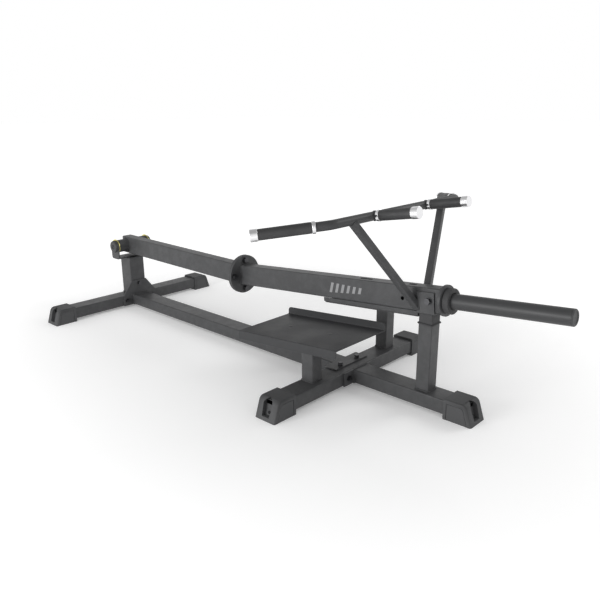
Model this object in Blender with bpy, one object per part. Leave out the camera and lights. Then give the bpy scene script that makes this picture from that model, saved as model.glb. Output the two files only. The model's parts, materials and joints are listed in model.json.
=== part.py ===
"""Plate-loaded lever row: floor frame, hinged lever arm, foot plate and multi-grip handle.

+X runs from the hinge towards the weight horn, +Z is up and z = 0 is the floor.  The origin is
on the floor, midway along the whole length, in the plane of the lever arm.
"""
import math

import bmesh
import bpy
from mathutils import Matrix, Vector

# Clearances
GAP = 0.0003             # between two pieces that touch
HOLE_CLEARANCE = 0.0005  # around a bolt or shaft, on the radius
WELD = 0.001             # how far welded pieces run into each other

# Floor frame
FRONT_X = 0.3307         # centre line of the front stabiliser
WHEELBASE = 1.383        # rear stabiliser to front stabiliser
HALF_WIDTH = 0.438       # centre plane to the outer edge of the front stabiliser's feet
REAR_EXTRA = 0.0095      # the rear stabiliser reaches this much further on each side
NOSE_REACH = 0.512       # front stabiliser to the outer edge of the nose foot
BEAM_W = 0.080           # base tubes, laid flat
BEAM_H = 0.050
BEAM_WALL = 0.003
BEAM_CORNER = 0.005
SOLE = 0.0125            # underside of the base tubes above the floor

# Moulded feet
FOOT_LENGTH = 0.102
FOOT_WALL = 0.0045
FOOT_TOP_WALL = 0.0075
FOOT_CORNER = 0.006
FOOT_COVER = 0.034       # from the tube's end to the foot's outer edge
FOOT_RAKE = 0.33         # inward lean of the end face per unit of height
FOOT_SLOT_W = 0.024
FOOT_SLOT_H = 0.034
FOOT_SLOT_DEPTH = 0.008
FOOT_SLOT_BASE = 0.010   # lower edge of the slot above the floor
FOOT_FACE_CHAMFER = 0.004  # the end face is set out from the shoe's walls by this much
FOOT_FACE_SIDE = 0.007   # and is narrower than the shoe by this much
FOOT_FACE_TOP = 0.009    # and lower by this much

# Rear post and hinge
REAR_POST_WALL = 0.003
HINGE_Z = 0.304
LUG_OUTER = 0.090        # outer face of each lug, from the centre plane
LUG_THICK = 0.006
LUG_RADIUS = 0.030
CLEVIS_FLOOR = 0.008
CLEVIS_CORNER = 0.010
CLEVIS_DROP = 0.0600     # hinge axis down to the underside of the clevis
SHAFT_R = 0.0125
HINGE_CAP_R = 0.028
HINGE_CAP_THICK = 0.009
HINGE_CAP_EDGE = 0.003
CAP_SCREW_R = 0.011      # sunk seat of the screw in each cap
CAP_SCREW_DEPTH = 0.004
TAP_DEPTH = 0.020        # threaded hole in each end of the shaft
BARREL_R = 0.030
BUSH_R = 0.020
BUSH_LENGTH = 0.040
THRUST_R = 0.035
THRUST_THICK = 0.0025

# Flanged joints of the base
END_PLATE = 0.006        # steel plates welded to the rail ends
TOP_PLATE = 0.004
JOINT_HALF = 0.090       # half width of the plates at the front joint
JOINT_BOLT_Y = 0.047
JOINT_BOLT_BACK = 0.008  # upright bolts, behind the stabiliser's centre line
JOINT_LIP = 0.007        # the angle plate ends this far past that line
JOINT_SIDE_INSET = 0.025 # level bolts, from the plates' ends
FLANGE_TOP_HALF = 0.040  # trapezoid plate at the rear joint
FLANGE_FOOT_HALF = 0.092
FLANGE_HEIGHT = 0.130
FLANGE_BOLT_INSET = 0.0185  # low bolts, from the plate's foot corners
FLANGE_BOLT_DROP = 0.016    # high bolt, below the plate's top
BASE_BOLT_R = 0.005
DRAIN_R = 0.004          # holes under the main rail, which its end plates would close otherwise
DRAIN_INSET = 0.080

# Lever arm: a level rear tube and a raised front tube, bolted flange to flange
ARM_W = 0.050
ARM_H = 0.080
ARM_WALL = 0.003
ARM_CORNER = 0.005
ARM_TAIL = 0.030         # tube behind the hinge axis
REAR_ARM_DROP = math.radians(0.384)
FRONT_ARM_RISE = math.radians(4.84)
FLANGE_REACH = 0.823     # hinge axis to the flange joint
FLANGE_BOLT_OUT = 0.0185 # bolt centres above and below the tube
FLANGE_RIM = 0.0195      # edge of the discs beyond the bolt centres
FLANGE_EDGE = 0.001
FLANGE_THICK = 0.008
FLANGE_BOLT_R = 0.006
ARM_END_AHEAD = 0.0509   # front tube's end, ahead of the rest post's centre line

# Weight horn, in line with the front tube
COLLAR_MARGIN = 0.0028   # collar's edge beyond the tube's corners
COLLAR_THICK = 0.010
COLLAR_EDGE = 0.0015
BUMPER_R = 0.041
BUMPER_THICK = 0.022
BUMPER_EDGE = 0.004
HORN_R = 0.025
HORN_WALL = 0.003
HORN_LENGTH = 0.362
HORN_CAP_LIP = 0.004
HORN_CAP_EDGE = 0.0025
HORN_CAP_PLUG = 0.018    # depth of the cap's plug in the horn

# Skid rail under the front tube, with its rubber strip
SKID_LENGTH = 0.396
SKID_CLEAR = 0.002       # from the rail's end to the handle bracket
SKID_W = 0.046
SKID_H = 0.015
SKID_WALL = 0.0025
STRIP_THICK = 0.004
STRIP_INSET = 0.002      # from each side of the rail
STRIP_SETBACK = 0.004    # from the rail's rear end

# Rest post and its rubber saddle
REST_X = 0.316           # ahead of the front stabiliser
REST_POST = 0.050
POST_WALL = 0.0025
POST_CORNER = 0.004
SADDLE_HEIGHT = 0.0373   # from the post's top to the middle of the saddle's seat
SADDLE_BEAD = 0.006
SADDLE_PROUD = 0.005
SPIGOT_LENGTH = 0.030

# Handle bracket
BRACKET_BEHIND = 0.0318  # bracket's rear edge, behind the rest post's centre line
BRACKET_LENGTH = 0.062
BRACKET_WALL = 0.005
BRACKET_CORNER = 0.003
BRACKET_SIDE_TOP = 0.027 # above the tube's centre line
HANDLE_BOLT_R = 0.006
HANDLE_BOLT_AHEAD = 0.0101  # through bolt, ahead of the rest post's centre line

# Handle
BAR_X = 0.189            # cross bar, ahead of the front stabiliser
BAR_Z = 0.6395
HANDLE_TILT = math.radians(9.76)
BAR_R = 0.014
BAR_WALL = 0.002
BEND_Y = 0.343           # where the cross bar turns back
SWEEP = math.radians(45)
BEND_R = 0.050
NEUTRAL_Y = 0.142
OUTER_REACH = 0.2275     # bend to the end of the outer grip's cap
NEUTRAL_REACH = 0.1625   # cross bar's axis to the end of the inner grip's cap
GRIP_WALL = 0.0024       # grips, rings and caps stand out from the bar by these
RING_WALL = 0.0040
CAP_WALL = 0.0042
RING_WIDTH = 0.010
RING_EDGE = 0.001
OUTER_RING_AT = 0.043
NEUTRAL_RING_CLEAR = 0.003  # inner ring, from the cross bar's side
CAP_WIDTH = 0.0225
CAP_EDGE = 0.0015
CAP_SPIGOT = 0.012
STRUT_W = 0.025
STRUT_T = 0.020
STRUT_WALL = 0.002
STRUT_CORNER = 0.003
STRUT_TOP_Y = 0.252
STRUT_FOOT_BEHIND = 0.037   # foot of a strut, behind the rest post's centre line
STRUT_FOOT_DROP = 0.0163    # and below the front tube's centre line
STUB_START = 0.002          # the stubs begin this far inside the cross bar

# Foot plate and its supports
PLATE_REAR = -0.345      # from the front stabiliser
PLATE_FRONT = 0.1195
PLATE_NEAR_Y = -0.2285
PLATE_FAR_Y = 0.041
PLATE_THICK = 0.003
PLATE_SLOPE = 0.0889     # rise per unit of length, towards the horn
PLATE_Z = 0.1967         # top face above the front stabiliser's centre line
PLATE_LIP_DOWN = 0.032
PLATE_LIP_UP = 0.027
PLATE_BEND = 0.004       # radius of the two folds
PLATE_BOLT_Y = -0.0885
PLATE_BOLT_X = (-0.0227, -0.2132)
PLATE_BOLT_R = 0.004
PLATE_POST = 0.050
NEAR_POST_Y = -0.200
FAR_POST_Y = 0.222
PLATE_POST_X = -0.0095
FAR_POST_TOP = 0.260
SUPPORT_ARM_X = -0.013
SUPPORT_ARM_W = 0.040
SUPPORT_ARM_H = 0.025
SUPPORT_ARM_PAST = 0.033 # support arm's end, past the bolt
PAD_THICK = 0.005
PAD_FAR_Y = 0.033
PAD_NEAR_Y = -0.115
PAD_LENGTH = 0.060
POST_CAP = 0.006
POST_CAP_PLUG = 0.015
POST_CAP_EDGE = 0.002

REAR_X = FRONT_X - WHEELBASE
BEAM_TOP = SOLE + BEAM_H
BEAM_Z = SOLE + BEAM_H / 2
REAR_POST = BEAM_W       # the joint's plate lies against both the post and the rear tube
FLANGE_BOLT_CIRCLE = ARM_H / 2 + FLANGE_BOLT_OUT
FLANGE_R = FLANGE_BOLT_CIRCLE + FLANGE_RIM
COLLAR_R = math.hypot(ARM_W / 2, ARM_H / 2) + COLLAR_MARGIN
GRIP_R = BAR_R + GRIP_WALL
RING_R = BAR_R + RING_WALL
CAP_R = BAR_R + CAP_WALL
NEUTRAL_RING_AT = BAR_R + NEUTRAL_RING_CLEAR
SEGMENTS = 24
COARSE = 16              # sides of the handle's tubes
FINE = 32                # sides of the large turned pieces

COATS = {
    "powder_coat": ((0.075, 0.077, 0.081), 0.48, 0.0),
    "moulded_foot": ((0.055, 0.056, 0.059), 0.60, 0.0),
    "rubber": ((0.028, 0.028, 0.030), 0.75, 0.0),
    "grip_rubber": ((0.030, 0.030, 0.032), 0.70, 0.0),
    "chrome": ((0.80, 0.80, 0.81), 0.12, 1.0),
    "thrust_bronze": ((0.72, 0.66, 0.30), 0.35, 1.0),
    "dark_fastener": ((0.045, 0.045, 0.048), 0.38, 1.0),
    "turned_steel": ((0.42, 0.42, 0.43), 0.30, 1.0),
}


# ---------------------------------------------------------------- tools for shapes

def coat(name):
    """One Principled material for each finish."""
    found = bpy.data.materials.get(name)
    if found:
        return found
    colour, roughness, metallic = COATS[name]
    made = bpy.data.materials.new(name)
    made.use_nodes = True
    shader = made.node_tree.nodes["Principled BSDF"]
    shader.inputs["Base Color"].default_value = (*colour, 1.0)
    shader.inputs["Roughness"].default_value = roughness
    shader.inputs["Metallic"].default_value = metallic
    return made


def empty(name, location=(0, 0, 0), tilt=0.0, parent=None):
    """A guide axis: tilt turns it about Y, so that a positive tilt lifts its +X end."""
    guide = bpy.data.objects.new(name, None)
    guide.empty_display_size = 0.05
    guide.location = location
    guide.rotation_euler = (0, -tilt, 0)
    guide.parent = parent
    bpy.context.scene.collection.objects.link(guide)
    return guide


def piece(name, bm, finish, location=(0, 0, 0), parent=None, turn=(0, 0, 0), round_piece=False):
    """Turns a closed bmesh into one named object."""
    bmesh.ops.recalc_face_normals(bm, faces=bm.faces)
    mesh = bpy.data.meshes.new(name)
    bm.to_mesh(mesh)
    bm.free()
    if round_piece:
        mesh.shade_smooth()
        mesh.set_sharp_from_angle(angle=math.radians(35))
    made = bpy.data.objects.new(name, mesh)
    made.data.materials.append(coat(finish))
    made.location = location
    made.rotation_euler = turn
    made.parent = parent
    bpy.context.scene.collection.objects.link(made)
    return made


def skin(loops, ring=False, bm=None):
    """Joins loops of equally many points into a closed body; a ring's last loop meets its first."""
    bm = bm or bmesh.new()
    rows = [[bm.verts.new(point) for point in loop] for loop in loops]
    count = len(rows[0])
    pairs = list(zip(rows, rows[1:]))
    if ring:
        pairs.append((rows[-1], rows[0]))
    for low, high in pairs:
        for i in range(count):
            j = (i + 1) % count
            bm.faces.new((low[i], low[j], high[j], high[i]))
    if not ring:
        bm.faces.new(list(reversed(rows[0])))
        bm.faces.new(rows[-1])
    return bm


def rounded(width, height, radius, steps=3):
    """A rounded rectangle's corner points as (y, z), anticlockwise."""
    points = []
    for quarter, (sy, sz) in enumerate(((1, 1), (-1, 1), (-1, -1), (1, -1))):
        centre_y = sy * (width / 2 - radius)
        centre_z = sz * (height / 2 - radius)
        for step in range(steps + 1):
            angle = math.radians(90) * (quarter + step / steps)
            points.append((centre_y + radius * math.cos(angle), centre_z + radius * math.sin(angle)))
    return points


def circle(radius, count=SEGMENTS):
    """A circle's points as (y, z), with a flat of the polygon on top."""
    turn = 2 * math.pi / count
    return [(radius * math.cos(turn * (i + 0.5)), radius * math.sin(turn * (i + 0.5))) for i in range(count)]


def along_x(section, x):
    return [Vector((x, y, z)) for y, z in section]


def along_z(section, z):
    return [Vector((x, y, z)) for x, y in section]


def box_tube(length, width, height, wall, corner):
    """A rectangular tube with open ends, from x = 0 to its length."""
    outer = rounded(width, height, corner)
    inner = rounded(width - 2 * wall, height - 2 * wall, max(corner - wall, wall / 2))
    loops = [along_x(outer, 0), along_x(outer, length), along_x(inner, length), along_x(inner, 0)]
    return skin(loops, ring=True)


def upright(side, wall, corner, z_low, z_high, slope=0.0, x_at=0.0):
    """A square upright tube; its top follows a slope along X when one is given."""
    outer = rounded(side, side, corner)
    inner = rounded(side - 2 * wall, side - 2 * wall, max(corner - wall, wall / 2))

    def top(section):
        return [Vector((x, y, z_high + slope * (x + x_at))) for x, y in section]
    return skin([along_z(outer, z_low), top(outer), top(inner), along_z(inner, z_low)], ring=True)


def turned(profile, count=SEGMENTS, bm=None):
    """A solid of revolution about X: (x, radius) pairs from one closed end to the other."""
    return skin([along_x(circle(radius, count), x) for x, radius in profile], bm=bm)


def turned_ring(profile, count=SEGMENTS, bm=None):
    """A ring of revolution about X: (x, radius) pairs round its section."""
    return skin([along_x(circle(radius, count), x) for x, radius in profile], ring=True, bm=bm)


def facing_pair(name, profile, start_y, finish, location=(0, 0, 0), parent=None):
    """Two mirrored rings of revolution about Y: each starts at a distance from the centre plane."""
    for side, sign in (("near", -1), ("far", 1)):
        bm = turned_ring(profile)
        move_from(bm, 0, aim((0, sign * start_y, 0), (0, sign, 0)))
        piece(f"{name}_{side}", bm, finish, location, parent, round_piece=True)


def block(low, high, bm=None):
    """A plain block between two corners."""
    section = ((low[1], low[2]), (high[1], low[2]), (high[1], high[2]), (low[1], high[2]))
    return skin([along_x(section, low[0]), along_x(section, high[0])], bm=bm)


def hexagon(across_flats):
    """A hexagon with the middle of each side as a point too, so that it meets a 12-sided shank."""
    corner = across_flats / math.sqrt(3)
    corners = [Vector((corner * math.cos(math.radians(60 * k)), corner * math.sin(math.radians(60 * k))))
               for k in range(6)]
    points = []
    for k in range(6):
        points.append(tuple(corners[k]))
        points.append(tuple((corners[k] + corners[(k + 1) % 6]) / 2))
    return points


def twelve(radius):
    """Twelve points of a circle that line up with a hexagon's points."""
    angles = [math.radians(30 * k) for k in range(12)]
    return [(radius * math.cos(angle), radius * math.sin(angle)) for angle in angles]


def hex_bolt(bm, place, radius, grip):
    """A bolt with its head's seat at x = 0, the head towards -X and the shank towards +X."""
    head = hexagon(radius * 3.2)
    start = len(bm.verts)
    skin([along_x(hexagon(radius * 2.7), -radius * 1.3), along_x(head, -radius * 1.05), along_x(head, 0),
          along_x(twelve(radius), 0), along_x(twelve(radius), grip)], bm=bm)
    move_from(bm, start, place)


def hex_nut(bm, place, radius):
    """A nut on the shank, with its seat at x = 0 and its body towards +X."""
    start = len(bm.verts)
    bore = twelve(radius + GAP)
    skin([along_x(hexagon(radius * 3.2), 0), along_x(hexagon(radius * 3.2), radius * 1.4),
          along_x(bore, radius * 1.4), along_x(bore, 0)], ring=True, bm=bm)
    move_from(bm, start, place)


def move_from(bm, start, place):
    """Places the vertices added since the count start."""
    bm.verts.ensure_lookup_table()
    bmesh.ops.transform(bm, matrix=place, verts=bm.verts[start:])


def aim(point, direction):
    """A placement whose local +X points along a direction."""
    turn = Vector(direction).to_track_quat("X", "Z").to_matrix().to_4x4()
    return Matrix.Translation(point) @ turn


def rod(point, direction, radius, length, count=12):
    """A cutter: a round bar centred on a point."""
    section = twelve(radius) if count == 12 else circle(radius, count)
    bm = skin([along_x(section, -length / 2), along_x(section, length / 2)])
    bmesh.ops.transform(bm, matrix=aim(point, direction), verts=bm.verts)
    return bm


def combined(bm, others, operation):
    """Adds closed shapes to a closed shape, or cuts them out of it, and gives the result as a bmesh."""
    bmesh.ops.recalc_face_normals(bm, faces=bm.faces)
    scratch = []

    def temporary(shape):
        mesh = bpy.data.meshes.new("scratch")
        shape.to_mesh(mesh)
        shape.free()
        made = bpy.data.objects.new("scratch", mesh)
        bpy.context.scene.collection.objects.link(made)
        scratch.append(made)
        return made
    body = temporary(bm)
    for other in others:
        bmesh.ops.recalc_face_normals(other, faces=other.faces)
        step = body.modifiers.new("step", "BOOLEAN")
        step.operation = operation
        step.object = temporary(other)
    bpy.context.view_layer.update()
    evaluated = body.evaluated_get(bpy.context.evaluated_depsgraph_get())
    result = bmesh.new()
    result.from_mesh(evaluated.to_mesh())
    evaluated.to_mesh_clear()
    for made in scratch:
        mesh = made.data
        bpy.data.objects.remove(made)
        bpy.data.meshes.remove(mesh)
    return result


def drilled(bm, cutters):
    return combined(bm, cutters, "DIFFERENCE")


def welded(bm, others):
    return combined(bm, others, "UNION")


# ---------------------------------------------------------------- floor frame

def foot(name, x, y, heading):
    """A moulded shoe on a tube's end: local +X points outwards, x = 0 is its inner end."""
    pocket_depth = FOOT_LENGTH - FOOT_COVER + GAP
    width = BEAM_W + 2 * (FOOT_WALL + GAP)
    top = BEAM_TOP + GAP + FOOT_TOP_WALL
    mid = top / 2
    pocket = [(py, pz + BEAM_Z) for py, pz in rounded(BEAM_W + 2 * GAP, BEAM_H + 2 * GAP, BEAM_CORNER)]
    shell = [(py, pz + mid) for py, pz in rounded(width, top, FOOT_CORNER)]
    face = [(py, pz + mid) for py, pz in rounded(width - FOOT_FACE_SIDE, top - FOOT_FACE_TOP, FOOT_CORNER)]
    slot_mid = FOOT_SLOT_BASE + FOOT_SLOT_H / 2
    slot = [(py, pz + slot_mid) for py, pz in rounded(FOOT_SLOT_W, FOOT_SLOT_H, FOOT_SLOT_W * 0.45)]

    def raked(section, back):
        return [Vector((FOOT_LENGTH - back - FOOT_RAKE * z, y, z)) for y, z in section]
    bm = skin([along_x(pocket, pocket_depth), along_x(pocket, 0), along_x(shell, 0),
               raked(shell, FOOT_FACE_CHAMFER), raked(face, 0.0),
               raked(slot, 0.0), raked(slot, FOOT_SLOT_DEPTH)])
    piece(name, bm, "moulded_foot", (x, y, 0), turn=(0, 0, heading))


def stabiliser(name, x, half_width, near_foot, far_foot, cuts):
    """A cross tube with a foot on each end."""
    half = half_width - FOOT_COVER
    bm = box_tube(2 * half, BEAM_W, BEAM_H, BEAM_WALL, BEAM_CORNER)
    bmesh.ops.transform(bm, matrix=Matrix.Translation((-half, 0, 0)), verts=bm.verts)
    bmesh.ops.rotate(bm, verts=bm.verts, matrix=Matrix.Rotation(math.radians(90), 3, "Z"))
    piece(name, drilled(bm, cuts), "powder_coat", (x, 0, BEAM_Z))
    inner_end = half_width - FOOT_LENGTH
    foot(near_foot, x, -inner_end, math.radians(-90))
    foot(far_foot, x, inner_end, math.radians(90))


def rear_end():
    """Rear stabiliser and rear post; gives the trapezoid plate that the main rail ends in."""
    face_x = REAR_X + BEAM_W / 2
    hole_r = BASE_BOLT_R + HOLE_CLEARANCE
    low_y = FLANGE_FOOT_HALF - FLANGE_BOLT_INSET
    side_cuts = [rod((0, y, 0), (1, 0, 0), hole_r, 0.12) for y in (-low_y, low_y)]
    reach = HALF_WIDTH + REAR_EXTRA
    stabiliser("rear_stabiliser", REAR_X, reach, "rear_near_foot", "rear_far_foot", side_cuts)

    post = upright(REAR_POST, REAR_POST_WALL, BEAM_CORNER, BEAM_TOP + GAP, HINGE_Z - CLEVIS_DROP - GAP)
    high_z = FLANGE_HEIGHT - FLANGE_BOLT_DROP
    post = drilled(post, [rod((0, 0, high_z), (1, 0, 0), hole_r, 0.12)])
    piece("rear_post", post, "powder_coat", (REAR_X, 0, 0))

    low, high = FLANGE_FOOT_HALF, FLANGE_TOP_HALF
    outline = ((-low, SOLE), (low, SOLE), (low, BEAM_TOP), (high, FLANGE_HEIGHT), (-high, FLANGE_HEIGHT),
               (-low, BEAM_TOP))
    plate = skin([along_x(outline, face_x + GAP), along_x(outline, face_x + GAP + END_PLATE)])
    seats = [(face_x + GAP, y, BEAM_Z) for y in (-low_y, low_y)]
    seats.append((face_x + GAP, 0, high_z))
    cuts = [rod(seat, (1, 0, 0), hole_r, 0.03) for seat in seats]
    return drilled(plate, cuts)


def front_end(rear_plate):
    """Front stabiliser, the main rail with a plate on each end, and the front rail."""
    hole_r = BASE_BOLT_R + HOLE_CLEARANCE
    back_x = FRONT_X - BEAM_W / 2
    fore_x = FRONT_X + BEAM_W / 2
    side_y = JOINT_HALF - JOINT_SIDE_INSET
    cuts = [rod((-JOINT_BOLT_BACK, y, 0), (0, 0, 1), hole_r, 0.10) for y in (-JOINT_BOLT_Y, JOINT_BOLT_Y)]
    cuts += [rod((0, y, 0), (1, 0, 0), hole_r, 0.12) for y in (-side_y, side_y)]
    stabiliser("front_stabiliser", FRONT_X, HALF_WIDTH, "front_near_foot", "front_far_foot", cuts)

    # Angle plate: it lies on the stabiliser and turns down behind it, and the rail is welded to it.
    leg_x = back_x - GAP - END_PLATE
    top_z = BEAM_TOP + GAP
    lip_x = FRONT_X + JOINT_LIP
    profile = ((leg_x, SOLE), (leg_x + END_PLATE, SOLE), (leg_x + END_PLATE, top_z),
               (lip_x, top_z), (lip_x, top_z + TOP_PLATE), (leg_x, top_z + TOP_PLATE))
    sides = [[Vector((x, y, z)) for x, z in profile] for y in (-JOINT_HALF, JOINT_HALF)]
    drop_x = FRONT_X - JOINT_BOLT_BACK
    cuts = [rod((drop_x, y, top_z), (0, 0, 1), hole_r, 0.03) for y in (-JOINT_BOLT_Y, JOINT_BOLT_Y)]
    cuts += [rod((leg_x, y, BEAM_Z), (1, 0, 0), hole_r, 0.03) for y in (-side_y, side_y)]
    angle_plate = drilled(skin(sides), cuts)
    rear_x = REAR_X + BEAM_W / 2 + GAP + END_PLATE - WELD
    rail = box_tube(leg_x + WELD - rear_x, BEAM_W, BEAM_H, BEAM_WALL, BEAM_CORNER)
    bmesh.ops.translate(rail, vec=(rear_x, 0, BEAM_Z), verts=rail.verts)
    drain_x = (rear_x + DRAIN_INSET, leg_x - DRAIN_INSET)
    drains = [rod((x, 0, SOLE), (0, 0, 1), DRAIN_R, 0.02) for x in drain_x]
    piece("main_rail", welded(drilled(rail, drains), [rear_plate, angle_plate]), "powder_coat")

    # Front rail with its own end plate against the stabiliser's front face.
    plate = block((fore_x + GAP, -JOINT_HALF, SOLE), (fore_x + GAP + END_PLATE, JOINT_HALF, BEAM_TOP))
    cuts = [rod((fore_x, y, BEAM_Z), (1, 0, 0), hole_r, 0.04) for y in (-side_y, side_y)]
    plate = drilled(plate, cuts)
    start_x = fore_x + GAP + END_PLATE - WELD
    end_x = FRONT_X + NOSE_REACH - FOOT_COVER
    rail = box_tube(end_x - start_x, BEAM_W, BEAM_H, BEAM_WALL, BEAM_CORNER)
    bmesh.ops.translate(rail, vec=(start_x, 0, BEAM_Z), verts=rail.verts)
    piece("front_rail", welded(plate, [rail]), "powder_coat")
    foot("nose_foot", FRONT_X + NOSE_REACH - FOOT_LENGTH, 0, 0)


def rest_post():
    """The post that the resting lever arm lies on, with its rubber saddle."""
    x = FRONT_X + REST_X
    post_top = saddle_height(0) - SADDLE_HEIGHT
    post = upright(REST_POST, POST_WALL, POST_CORNER, BEAM_TOP + GAP, post_top)
    piece("rest_post", post, "powder_coat", (x, 0, 0))
    inside = REST_POST - 2 * POST_WALL - 2 * GAP
    spigot = rounded(inside, inside, POST_CORNER / 2)
    neck = rounded(REST_POST, REST_POST, POST_CORNER)
    bead = rounded(REST_POST + 2 * SADDLE_PROUD, REST_POST + 2 * SADDLE_PROUD, POST_CORNER + SADDLE_PROUD)
    seat_z = post_top + GAP

    def top(section):
        return [Vector((px, py, saddle_height(px))) for px, py in section]
    loops = [along_z(spigot, seat_z - SPIGOT_LENGTH), along_z(spigot, seat_z), along_z(neck, seat_z)]
    for step in range(1, 6):
        angle = math.pi * step / 6
        side = REST_POST + 2 * SADDLE_PROUD * math.sin(angle)
        height = seat_z + SADDLE_BEAD * (1 - math.cos(angle)) / 2
        loops.append(along_z(rounded(side, side, POST_CORNER + SADDLE_PROUD * math.sin(angle)), height))
    loops.append(along_z(neck, seat_z + SADDLE_BEAD))
    loops.append(top(neck))
    piece("rest_saddle", skin(loops), "rubber", (x, 0, 0))


def past_flange(x):
    """Level distance from the flange joint to a place given ahead of the front stabiliser."""
    return x + WHEELBASE - FLANGE_REACH * math.cos(REAR_ARM_DROP)


def along_front_tube(x):
    """Distance from the flange joint along the front tube, to a place ahead of the front stabiliser."""
    return past_flange(x) / math.cos(FRONT_ARM_RISE)


def front_tube_z(x):
    """Height of the front tube's centre line at a distance ahead of the front stabiliser."""
    joint_z = HINGE_Z - FLANGE_REACH * math.sin(REAR_ARM_DROP)
    return joint_z + past_flange(x) * math.tan(FRONT_ARM_RISE)


def saddle_height(px):
    """Top of the saddle, just under the handle bracket that rests on it."""
    below = (ARM_H / 2 + GAP + BRACKET_WALL + GAP) / math.cos(FRONT_ARM_RISE)
    return front_tube_z(REST_X + px) - below


# ---------------------------------------------------------------- foot plate

def plate_top(x):
    """Height of the foot plate's top face at a distance ahead of the front stabiliser."""
    return PLATE_Z + PLATE_SLOPE * x


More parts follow.
